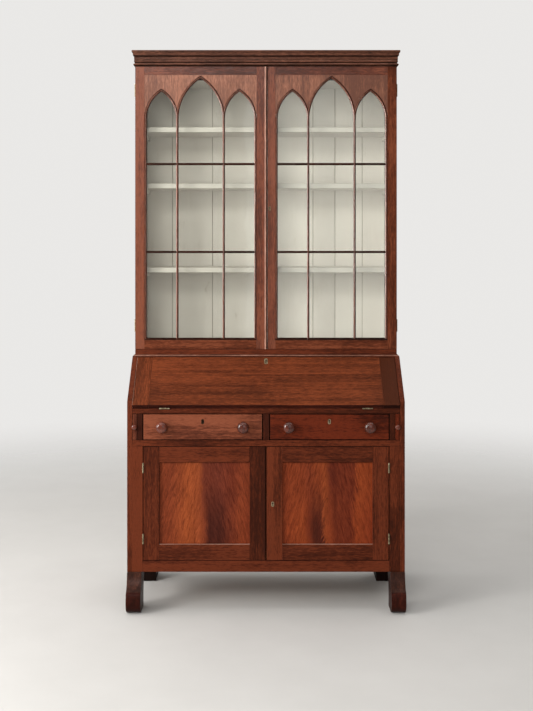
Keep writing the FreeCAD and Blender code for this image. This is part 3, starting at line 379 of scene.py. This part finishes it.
# Glazing bars: mahogany darker than the doors' wood, as painted shade for the bars' shaded sides.
shaded_bar_wood = mahogany(
    "painted_shade_glazing_bar_mahogany", (26, 10, 6), (46, 19, 12), (70, 33, 22), rough=0.26, figure=0.6, shine=0.62)
retouch(shaded_bar_wood, {"Specular Tint": tint(255, 196, 172)})
# Pale copy of the bar wood for the bevels turned to the left: a painted highlight where the light from the left
# catches them.
bevel_highlight_wood = mahogany(
    "painted_highlight_bevel_mahogany", (88, 50, 38), (118, 72, 56), (142, 94, 76), rough=0.24, figure=0.6, shine=0.6)
# Pale wood for the meeting bead's left and front faces: a painted highlight along the bead.
bead_highlight_wood = mahogany(
    "painted_highlight_bead_mahogany", (120, 80, 64), (150, 108, 90), (172, 130, 112), rough=0.3, figure=0.6, shine=0.3)
fall_wood = mahogany("fall_mahogany", (64, 28, 12), (90, 41, 20), (113, 54, 28))
left_drawer_wood = mahogany("left_drawer_mahogany", (68, 32, 21), (99, 51, 34), (123, 67, 46))
right_drawer_wood = mahogany("right_drawer_mahogany", (46, 15, 7), (68, 24, 11), (92, 35, 17))
foot_wood = mahogany("foot_mahogany", (36, 17, 11), (54, 28, 19), (74, 42, 31), rough=0.36, shine=0.12)
# Dark wood as painted shade: on the feet's toes, on the flat edges in gaps and on the fall's lower edge.
shade_wood = mahogany("painted_shade_mahogany", (34, 12, 7), (50, 18, 11), (68, 28, 18), rough=0.36)
# Near-black rear feet: painted shade, as they stand in the shade under the case.
shaded_back_foot_wood = mahogany("painted_shade_back_foot_mahogany", (20, 10, 7), (31, 15, 10), (44, 23, 16), rough=0.5)
knob_wood = mahogany(
    "knob_mahogany", (50, 20, 12), (84, 36, 22), (104, 48, 30), rough=0.3, figure=0.8, shine=0.1, relief=0.02)
retouch(knob_wood, {"Coat Weight": 0.8, "Coat Roughness": 0.1, "Coat IOR": 1.6})
# Near-black wood as painted shade: in gaps, in the mouldings' quirks and under edges.
deep_shade_wood = mahogany("painted_deep_shade_mahogany", (10, 5, 4), (17, 8, 6), (27, 13, 10), rough=0.7, shine=0.02)
# Pale wood as a painted highlight on ledges and arrises that face the light.
highlight_wood = mahogany("painted_highlight_mahogany", (104, 70, 56), (136, 98, 83), (160, 122, 106))
pine = bare_pine("carcase_pine_aged")
paint = shelf_paint("shelf_distemper")
edge_paint = shelf_paint("handled_edge_distemper", dull=0.82)
glass = old_glass("drawn_glass")
brass = old_brass("handled_brass", (164, 150, 122), (98, 84, 62), rough=0.46)
# Dark brass: the tarnish of the left drawer's key plate, and on the lock cases also a painted shade that makes the
# keyholes read dark.
dark_brass_and_keyhole_shade = old_brass("blackened_brass_and_keyhole_shade", (60, 48, 36), (26, 20, 16), rough=0.5)
left_flame = flame_panel(
    "left_panel_flame", LEFT_PANEL_EDGE, 0.52,
    foot_bands=(
        (0.0, (118, 54, 32)), (0.12, (128, 60, 34)), (0.3, (148, 73, 38)), (0.44, (144, 71, 40)),
        (0.49, (126, 60, 37)), (0.54, (70, 31, 23)), (0.68, (74, 33, 24)), (0.8, (108, 48, 30)),
        (0.92, (128, 58, 32)), (1.0, (122, 54, 31))),
    head_bands=(
        (0.0, (124, 58, 34)), (0.14, (120, 56, 33)), (0.32, (144, 71, 38)), (0.45, (140, 69, 38)),
        (0.5, (106, 49, 33)), (0.66, (102, 47, 33)), (0.8, (112, 50, 32)), (0.93, (124, 57, 33)),
        (1.0, (116, 52, 31))))
right_flame = flame_panel(
    "right_panel_flame", RIGHT_PANEL_EDGE, 0.5,
    foot_bands=(
        (0.0, (118, 51, 28)), (0.12, (134, 60, 31)), (0.24, (138, 63, 32)), (0.31, (110, 47, 27)),
        (0.36, (74, 32, 21)), (0.45, (78, 33, 22)), (0.49, (136, 64, 34)), (0.54, (128, 57, 30)),
        (0.6, (104, 44, 25)), (0.76, (106, 44, 25)), (0.84, (136, 60, 30)), (0.92, (128, 55, 28)),
        (1.0, (122, 51, 27))),
    head_bands=(
        (0.0, (124, 55, 30)), (0.15, (130, 59, 32)), (0.3, (120, 54, 31)), (0.42, (132, 61, 33)),
        (0.48, (142, 68, 36)), (0.53, (94, 39, 25)), (0.64, (104, 44, 26)), (0.8, (108, 46, 27)),
        (0.85, (140, 64, 32)), (1.0, (132, 59, 30))))


# ---------------------------------------------------------------- boards

def shells(node):
    """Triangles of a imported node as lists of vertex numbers, board by board: a board ends where its shell closes."""
    mesh = nodes[node].data
    spots = {}
    welded = [spots.setdefault(tuple(round(c, WELD_DIGITS) for c in v.co), v.index) for v in mesh.vertices]
    boards, board, open_edges = [], [], set()
    for face in mesh.polygons:
        ring = [welded[v] for v in face.vertices]
        board.append(ring)
        for edge in zip(ring, ring[1:] + ring[:1]):
            open_edges ^= {frozenset(edge)}
        if not open_edges:
            boards.append(board)
            board = []
    return boards


def box_of(points):
    """Lowest and highest corner of the box round some points."""
    low = Vector([min(p[i] for p in points) for i in range(3)])
    high = Vector([max(p[i] for p in points) for i in range(3)])
    return low, high


def shell_box(node, number):
    """Lowest and highest corner of one board of a node."""
    mesh = nodes[node].data
    return box_of([mesh.vertices[v].co for ring in shells(node)[number] for v in ring])


def only(piece):
    """Makes a piece the one that is selected and worked on."""
    bpy.ops.object.select_all(action="DESELECT")
    piece.select_set(True)
    bpy.context.view_layer.objects.active = piece


def cut_board(node, number, rings, finish):
    """One board of a node as an object of its own."""
    mesh = nodes[node].data
    used = sorted({v for ring in rings for v in ring})
    seat = {v: i for i, v in enumerate(used)}
    copy = bpy.data.meshes.new(f"{node}_{number}")
    copy.from_pydata([mesh.vertices[v].co for v in used], [], [[seat[v] for v in ring] for ring in rings])
    copy.materials.append(finish)
    board = bpy.data.objects.new(copy.name, copy)
    bpy.context.scene.collection.objects.link(board)
    return board


def edges_to_ease(edit):
    """Outside corners long enough to be rubbed round, clear of small steps."""
    def sharp(edge):
        return len(edge.link_faces) == 2 and edge.calc_face_angle() > CORNER_ANGLE

    def clear(edge):
        beside = [e for v in edge.verts for e in v.link_edges if sharp(e)]
        return min(e.calc_length() for e in beside) > SHORT_EDGE

    return [e for e in edit.edges if sharp(e) and e.is_convex and clear(e)]


def ease_edges(board, ease):
    """Rounds the corners of a board and marks their faces as worn. The new faces are told by a second slot."""
    mesh = board.data
    mesh.materials.append(mesh.materials[0])
    only(board)
    bpy.ops.object.mode_set(mode="EDIT")
    bpy.ops.mesh.select_mode(type="EDGE")
    bpy.ops.mesh.select_all(action="SELECT")
    bpy.ops.mesh.dissolve_limited(angle_limit=FLAT_ANGLE)
    bpy.ops.mesh.select_all(action="DESELECT")
    edit = bmesh.from_edit_mesh(mesh)
    corners = edges_to_ease(edit)
    for edge in corners:
        edge.select_set(True)
    bmesh.update_edit_mesh(mesh)
    if corners:
        bpy.ops.mesh.bevel(offset=ease, segments=2, profile=0.5, affect="EDGES", clamp_overlap=True, material=1)
    bpy.ops.object.mode_set(mode="OBJECT")
    worn = mesh.attributes.new("worn", "FLOAT", "FACE")
    worn.data.foreach_set("value", [float(face.material_index) for face in mesh.polygons])
    mesh.polygons.foreach_set("material_index", [0] * len(mesh.polygons))
    mesh.materials.pop(index=1)


def grain_axes(low, high, along):
    """Axes of a board with its grain first, by its longest side unless it is named."""
    sizes = high - low
    first = "xyz".index(along) if along else max(range(3), key=lambda i: sizes[i])
    return [first, (first + 1) % 3, (first + 2) % 3]


def set_grain(mesh, places, tones):
    """Gives each point of a mesh its place along and across the grain, and its tone."""
    grain = mesh.attributes.new("grain", "FLOAT_VECTOR", "POINT")
    grain.data.foreach_set("vector", [c for place in places for c in place])
    shade = mesh.attributes.new("tone", "FLOAT", "POINT")
    shade.data.foreach_set("value", tones)


def chance_shift(chance):
    """Step to another part of the tree's grain."""
    return Vector([chance.uniform(-GRAIN_SHIFT, GRAIN_SHIFT) for _ in range(3)])


def run_grain(board, seed, along, turn, tone, lean):
    """Gives a board its own run of grain and its tone, which may lean along x and z."""
    chance = random.Random(seed)
    shift = chance_shift(chance)
    tone += chance.uniform(-BOARD_TONE_CHANCE, BOARD_TONE_CHANCE)
    points = [turn @ v.co for v in board.data.vertices]
    low, high = box_of(points)
    axes = grain_axes(low, high, along)
    middle = (low + high) / 2
    half = (high - low) / 2
    places = [[p[axis] + shift[i] for i, axis in enumerate(axes)] for p in points]
    tones = [tone + (lean[0] * (p.x - middle.x) / half.x + lean[1] * (p.z - middle.z) / half.z) for p in points]
    set_grain(board.data, places, tones)


def settle(piece, node):
    """The piece rides on its node's body and hides the node."""
    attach(piece, nodes[node]["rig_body"])
    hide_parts(node)


def dress(node, finish, along="", tones=(), turn=Matrix.Identity(3), ease=EASED_EDGE,
          boards=None, called="", lean=(0, 0)):
    """Piece that stands for a node or some of its boards: eased, grained and joined."""
    made = []
    for number, rings in enumerate(shells(node)):
        if boards is None or number in boards:
            board = cut_board(node, number, rings, finish)
            ease_edges(board, ease)
            tone = tones[number] if number < len(tones) else MIDDLE_TONE
            run_grain(board, f"{node} {number}", along, turn, tone, lean)
            made.append(board)
    bpy.ops.object.select_all(action="DESELECT")
    for board in made:
        board.select_set(True)
    bpy.context.view_layer.objects.active = made[0]
    if len(made) > 1:
        bpy.ops.object.join()
    piece = made[0]
    piece.name = called or f"{node}_finished"
    piece.data.name = piece.name
    only(piece)
    bpy.ops.object.shade_smooth_by_angle(angle=BOARD_SMOOTHING)
    settle(piece, node)
    return piece


def finish_faces(piece, finish, wanted):
    """Gives a further finish to the faces of a piece that pass a test on their normal and middle."""
    piece.data.materials.append(finish)
    number = len(piece.data.materials) - 1
    for face in piece.data.polygons:
        if wanted(face.normal, face.center):
            face.material_index = number


def shade_gap_rims(piece):
    """Paints the shade of a gap onto the edges of a piece that look into it: deep painted shade on the corners,
    lighter painted shade on the flats.
    """
    low, high = box_of(piece.bound_box)

    def in_gap_shade(normal, middle):
        return any(
            abs(normal[i]) > TURNED and min(middle[i] - low[i], high[i] - middle[i]) < EASED_EDGE for i in (0, 2))

    finish_faces(piece, deep_shade_wood, in_gap_shade)
    finish_faces(piece, shade_wood, lambda normal, middle: in_gap_shade(normal, middle) and abs(normal.y) < EDGE_ON)


def shift_points(piece, wanted, step):
    """Moves the points of a piece that pass a test on their place."""
    only(piece)
    bpy.ops.object.mode_set(mode="EDIT")
    bpy.ops.mesh.select_mode(type="VERT")
    bpy.ops.mesh.select_all(action="DESELECT")
    edit = bmesh.from_edit_mesh(piece.data)
    for point in edit.verts:
        point.select_set(wanted(point.co))
    bmesh.update_edit_mesh(piece.data)
    bpy.ops.transform.translate(value=step)
    bpy.ops.object.mode_set(mode="OBJECT")


# Case: sides, rails, mouldings, feet and what the doors hide.
for name in ("desk_top_board", "writing_bed", "pigeonholes"):
    dress(name, case_wood)
dress("base_side_left", case_wood, tones=(0.8,))
dress("base_side_right", case_wood, tones=(0.5,))
dress("bookcase_rails", case_wood, tones=(0.7, 0.7))
for name, finish in (("waist_moulding", case_wood), ("cornice", cornice_wood)):
    moulding = dress(name, finish)
    # Painted shade on the mouldings' undersides, and a painted highlight on their upward faces.
    finish_faces(moulding, deep_shade_wood, lambda normal, middle: normal.z < -MOULDING_UNDERSIDE)
    finish_faces(moulding, highlight_wood, lambda normal, middle: normal.z > MOULDING_LEDGE)
face_frame = dress("cupboard_face_frame", case_wood, tones=(0.9, 0.4, 0.75))
# Painted shade on the face frame's edges that look into the door gaps.
finish_faces(
    face_frame, deep_shade_wood,
    lambda normal, middle: abs(normal.y) < NEARLY_FLUSH and abs(middle.x) < FACE_FRAME_REACH)
rails = dress("drawer_rails", case_wood, tones=(0.55, 0.35))
dividers = dress("drawer_dividers", case_wood, "z", (0.2, 0.1, 0.5, 0.5, 0.1))
# Painted shade on the rails' and dividers' edges that look into the drawer gaps.
for piece in (rails, dividers):
    finish_faces(piece, deep_shade_wood, lambda normal, middle: abs(normal.y) < NEARLY_FLUSH)
front_feet = dress("feet", foot_wood, "z", (0.6, 0.5, 0.2), ease=FOOT_EASE, boards=(0, 2), called="front_feet")
# Painted shade on the front feet's toes, below the lit hollow.
finish_faces(front_feet, shade_wood, lambda normal, middle: middle.z < TOE_HEIGHT)
# The rear feet take the near-black painted shade.
dress("feet", shaded_back_foot_wood, "z", ease=FOOT_EASE, boards=(1, 3), called="rear_feet")
for name in ("base_back_boards", "base_bottom_board", "dust_board", "cupboard_shelf",
             "left_drawer_box", "right_drawer_box"):
    dress(name, pine)

# Painted inside of the bookcase.
dress("shelf_cleats", paint)
shelves = dress("bookcase_shelves", paint)
finish_faces(shelves, edge_paint, lambda normal, middle: normal.y < -FACING)
ends = dress("bookcase_top_and_bottom", paint)
# Near-black painted shade on the front edges of the top and bottom boards, which show through the gap between the
# doors.
finish_faces(ends, deep_shade_wood, lambda normal, middle: normal.y < -FACING)
back = dress("bookcase_back_boards", paint, ease=BACK_BOARD_EASE)
finish_faces(back, pine, lambda normal, middle: normal.y > FACING)

# Glazed doors.
for side, inward in (("left", 1.0), ("right", -1.0)):
    case_side = dress(f"bookcase_side_{side}", case_wood)
    finish_faces(case_side, paint, lambda normal, middle: normal.x * inward > SQUARE_ON)
    nodes[f"{side}_glazed_door_panes"].material_slots[0].material = glass
    bars = dress(f"{side}_glazed_door_bars", shaded_bar_wood, ease=BAR_EASE)
    shoulder = min(v.co.y for v in bars.data.vertices) + BEAD_BEVEL
    shift_points(bars, lambda place: abs(place.y - shoulder) < BEAD_BEVEL / 4, (0, -BEAD_LIFT, 0))
    # Painted shade on the level bars' top and bottom faces, and a painted highlight on the bevels turned to the left.
    finish_faces(bars, deep_shade_wood, lambda normal, middle: abs(normal.x) < UPRIGHT_BAR and abs(normal.z) > LEVEL_BAR)
    finish_faces(bars, bevel_highlight_wood, lambda normal, middle: normal.x < -TURNED and normal.y < -FACING)

rail_top = shell_box("left_glazed_door_frame", 2)[1].z
left_frame = dress("left_glazed_door_frame", door_wood, tones=(0.82, 0.58, 0.6, 0.45, 0.5))
finish_faces(left_frame, dull_door_wood, lambda normal, middle: middle.z < rail_top)
shade_gap_rims(left_frame)
bead_back = shell_box("left_glazed_door_frame", 4)[1].y - BEAD_SEAT
# On the meeting bead: dark bar wood as painted shade, and on its faces turned left or forward a painted highlight.
finish_faces(left_frame, shaded_bar_wood, lambda normal, middle: middle.y < bead_back)
finish_faces(left_frame, bead_highlight_wood, lambda normal, middle: middle.y < bead_back and normal.x < TURNED)
stile_corner = shell_box("left_glazed_door_frame", 1)[1]
shift_points(
    left_frame,
    lambda place: place.y > stile_corner.y - MEETING_REACH and place.x > stile_corner.x - MEETING_REACH,
    (MEETING_TAPER, 0, 0))
right_frame = dress("right_glazed_door_frame", door_wood, tones=(0.3, 0.4, 0.53, 0.3))
hanging_edge = shell_box("right_glazed_door_frame", 0)[0].x
finish_faces(right_frame, dull_door_wood, lambda normal, middle: middle.z < rail_top or middle.x > hanging_edge)
shade_gap_rims(right_frame)
dress("left_glazed_door_arched_head", head_wood, "z", (0.55,))
dress("right_glazed_door_arched_head", head_wood, "z", (0.2,))

# Drawers, lopers and cupboard doors.
# Painted shade on the drawer and loper edges that look into their gaps.
shade_gap_rims(dress("left_drawer_front", left_drawer_wood, "x", (0.76,), lean=(-0.04, 0.24)))
shade_gap_rims(dress("right_drawer_front", right_drawer_wood, "x"))
shade_gap_rims(dress("left_loper_bar", left_drawer_wood, "z", (0.4,), boards=(0,)))
shade_gap_rims(dress("right_loper_bar", right_drawer_wood, "z", (0.95,), boards=(0,)))
for side, tones in (("left", (0.45, 0.12, 0.45, 0.5)), ("right", (0.45, 0.75, 0.5, 0.3))):
    door_frame = dress(f"{side}_cupboard_door_frame", case_wood, tones=tones)
    shade_gap_rims(door_frame)
    ledge = shell_box(f"{side}_cupboard_door_frame", 2)[1].z
    # Painted highlight on the bottom rail's upper inner arris; painted shade on the inner edges turned down or to the
    # right.
    finish_faces(
        door_frame, highlight_wood,
        lambda normal, middle: normal.z > TURNED and abs(middle.z - ledge) < LEDGE_REACH)
    finish_faces(door_frame, deep_shade_wood, lambda normal, middle: normal.z < -TURNED or normal.x > TURNED)
    finish_faces(
        door_frame, shade_wood,
        lambda normal, middle: (normal.z < -TURNED or normal.x > TURNED) and abs(normal.y) < EDGE_ON)
dress("left_cupboard_door_panel", left_flame, "z")
dress("right_cupboard_door_panel", right_flame, "z")

# Fall.
fall = dress("fall_boards", fall_wood, "x", (0.6, 0.4), FALL_TURN)
cleats = dress("fall_end_cleats", fall_wood, "y", (0.68, 0.1), FALL_TURN, CLEAT_EASE)
shade_gap_rims(cleats)
# Painted highlight on the left cleat's outer arris; painted shade on the fall's lower edges.
cleat_arris = shell_box("fall_end_cleats", 0)[0].x + CLEAT_ARRIS
finish_faces(
    cleats, highlight_wood,
    lambda normal, middle: normal.x < -TURNED and normal.y < -ARRIS_LEAN and middle.x < cleat_arris)
for piece in (fall, cleats):
    finish_faces(piece, shade_wood, lambda normal, middle: normal.y < -TURNED and normal.z < -TURNED)

# Brass: the left drawer's key plate has gone as dark as its lock.
for name in ("fall_lock", "glazed_door_lock", "cupboard_lock", "left_drawer_lock", "right_drawer_lock"):
    plate = dark_brass_and_keyhole_shade if name == "left_drawer_lock" else brass
    # The lock cases behind the keyholes are dark brass, as painted shade in the keyholes.
    dress(name, dark_brass_and_keyhole_shade, boards=(0,), ease=BRASS_EASE, called=f"{name}_case")
    dress(name, plate, boards=(1,), ease=BRASS_EASE, called=f"{name}_key_plate")
for name in nodes:
    if nodes[name].data.materials[0].name == "brass":
        nodes[name].material_slots[0].material = brass


# ---------------------------------------------------------------- turned knobs

# Outline from seat to crown: shares of the knob's radius and of its reach.
KNOB_TURNING = (
    (0.50, 0.00), (0.50, 0.05), (0.45, 0.07), (0.42, 0.14), (0.44, 0.22), (0.54, 0.30), (0.72, 0.37), (0.88, 0.44),
    (0.97, 0.51), (1.00, 0.58), (0.985, 0.66), (0.95, 0.73), (0.90, 0.79), (0.83, 0.85), (0.75, 0.90), (0.66, 0.94),
    (0.60, 0.96), (0.565, 0.965), (0.53, 0.96), (0.49, 0.968), (0.30, 0.99), (0.03, 1.0))
KNOB_SIDES = 48


def turned_knob(name, low, high):
    """Mushroom knob turned by drawing a disc out from the seat, ring by ring, into the room of its solid."""
    radius = (high.z - low.z) / 2
    middle = Vector(((low.x + high.x) / 2, high.y, (low.z + high.z) / 2))
    bpy.ops.object.select_all(action="DESELECT")
    bpy.ops.mesh.primitive_circle_add(
        vertices=KNOB_SIDES, radius=radius * KNOB_TURNING[0][0], fill_type="NGON",
        location=middle, rotation=(math.pi / 2, 0, 0))
    knob = bpy.context.object
    knob.name = name
    bpy.ops.object.transform_apply(location=True, rotation=True, scale=True)
    bpy.ops.object.mode_set(mode="EDIT")
    bpy.ops.mesh.select_mode(type="FACE")
    bpy.ops.mesh.select_all(action="SELECT")
    for (width, reach), (next_width, next_reach) in zip(KNOB_TURNING, KNOB_TURNING[1:]):
        step = (high.y - low.y) * (next_reach - reach)
        bpy.ops.mesh.extrude_region_move(TRANSFORM_OT_translate={"value": (0, -step, 0)})
        grow = next_width / width
        bpy.ops.transform.resize(value=(grow, 1, grow), center_override=middle)
    bpy.ops.mesh.select_all(action="SELECT")
    bpy.ops.mesh.normals_make_consistent(inside=False)
    bpy.ops.object.mode_set(mode="OBJECT")
    bpy.ops.object.shade_smooth_by_angle(angle=KNOB_SMOOTHING)
    chance = random.Random(name)
    shift = chance_shift(chance)
    tone = MIDDLE_TONE + chance.uniform(-KNOB_TONE_CHANCE, KNOB_TONE_CHANCE)
    points = knob.data.vertices
    set_grain(knob.data, [[(v.co + shift)[i] for i in (2, 0, 1)] for v in points], [tone] * len(points))
    knob.data.materials.append(knob_wood)
    return knob


for side in ("left", "right"):
    for number, place in enumerate(("left", "right")):
        low, high = shell_box(f"{side}_drawer_knobs", number)
        settle(turned_knob(f"{side}_drawer_{place}_knob", low, high), f"{side}_drawer_knobs")
    low, high = shell_box(f"{side}_loper_bar", 1)
    settle(turned_knob(f"{side}_loper_knob", low, high), f"{side}_loper_bar")


# ---------------------------------------------------------------- floor, light and camera

FLOOR_SIZE = 12.0
FLOOR_DROP = 0.0005
FLOOR_FADE = (1.4, 4.6)
DAYLIGHT = (1.0, 0.99, 0.97)
COOL_DAYLIGHT = (0.86, 0.95, 1.0)
BACKDROP = (0.82, 0.81, 0.795, 1.0)
LIGHTS = (
    # Name, place, aim, width, height, watts, colour, seen in gloss.
    ("window_left", (-2.7, -2.2, 1.8), (0.0, 0.0, 1.3), 1.5, 2.1, 66.0, DAYLIGHT, True),
    ("window_edge", (-3.05, -1.85, 1.75), (0.0, 0.0, 1.6), 0.5, 1.7, 38.0, DAYLIGHT, True),
    ("window_side", (-3.2, -0.1, 1.7), (0.0, -0.1, 1.4), 1.5, 2.2, 40.0, DAYLIGHT, True),
    ("window_front", (-0.95, -5.2, 3.4), (0.0, 0.0, 1.5), 2.2, 1.1, 90.0, DAYLIGHT, True),
    ("room_front", (-0.6, -4.9, 1.6), (0.0, 0.0, 1.5), 2.6, 1.6, 62.0, DAYLIGHT, False),
    ("window_behind", (0.9, -6.2, 1.7), (0.3, 0.0, 1.5), 2.2, 2.6, 16.0, COOL_DAYLIGHT, True),
    ("ceiling", (0.0, 1.6, 4.8), (0.0, 1.6, 0.0), 7.0, 8.0, 215.0, DAYLIGHT, True))
CAMERA_PLACE = (0.0, -4.539, 1.443)
CAMERA_LENS = 57.0
CAMERA_SENSOR = 36.0
CAMERA_SHIFT = (0.0007, -0.1695)


def pale_floor():
    """Plain pale floor that fades out round the piece."""
    finish, tree, surface = new_finish("pale_floor")
    place = place_on_piece(tree)
    speck = stretched_noise(tree, place, (3.0, 3.0, 3.0), detail=6.0, roughness=0.6)
    reach = put(tree, "VectorMath", {0: place}, operation="LENGTH").outputs["Value"]
    fill(tree, surface, {
        "Base Color": ramp(tree, speck, (0.3, (192, 190, 187)), (0.7, (197, 195, 192))),
        "Roughness": 0.8,
        "Specular IOR Level": 0.2,
        "Alpha": spread(tree, reach, *FLOOR_FADE, 1.0, 0.0)})
    bpy.ops.object.select_all(action="DESELECT")
    bpy.ops.mesh.primitive_plane_add(size=FLOOR_SIZE, location=(0, 0, -FLOOR_DROP))
    floor = bpy.context.object
    floor.name = "floor"
    floor.data.materials.append(finish)


def soft_light(name, place, aim, width, height, power, colour, mirrored):
    """Soft oblong light, turned to its aim and hidden from the camera."""
    lamp = bpy.data.lights.new(name, "AREA")
    lamp.shape = "RECTANGLE"
    lamp.size = width
    lamp.size_y = height
    lamp.energy = power
    lamp.color = colour
    holder = bpy.data.objects.new(name, lamp)
    holder.location = place
    holder.visible_camera = False
    holder.visible_glossy = mirrored
    holder.rotation_euler = (Vector(aim) - Vector(place)).to_track_quat("-Z", "Y").to_euler()
    bpy.context.scene.collection.objects.link(holder)


def studio_room():
    """Dim room with a bright wall on the left, and a pale backdrop where the camera looks past the piece."""
    world = bpy.data.worlds.new("studio")
    world.use_nodes = True
    tree = world.node_tree
    facing = put(tree, "SeparateXYZ", {"Vector": put(tree, "TexCoord").outputs["Generated"]})
    room = tree.nodes["Background"]
    strength = spread(tree, facing.outputs["X"], -0.95, -0.35, 0.85, 0.18)
    fill(tree, room, {"Color": (*DAYLIGHT, 1.0), "Strength": strength})
    backdrop = put(tree, "Background", {"Color": BACKDROP, "Strength": 1.0})
    seen = put(tree, "LightPath").outputs["Is Camera Ray"]
    both = put(tree, "MixShader", {0: seen, 1: room.outputs[0], 2: backdrop.outputs[0]})
    tree.links.new(both.outputs[0], tree.nodes["World Output"].inputs["Surface"])
    bpy.context.scene.world = world


def front_camera():
    """Level camera in front of the piece, at the photo's distance and height."""
    lens = bpy.data.cameras.new("camera")
    lens.sensor_width = CAMERA_SENSOR
    lens.lens = CAMERA_LENS
    lens.shift_x, lens.shift_y = CAMERA_SHIFT
    camera = bpy.data.objects.new("camera", lens)
    camera.location = CAMERA_PLACE
    camera.rotation_euler = (math.pi / 2, 0, 0)
    bpy.context.scene.collection.objects.link(camera)
    bpy.context.scene.camera = camera


pale_floor()
studio_room()
for light in LIGHTS:
    soft_light(*light)
front_camera()
bpy.context.scene.view_settings.view_transform = "Standard"
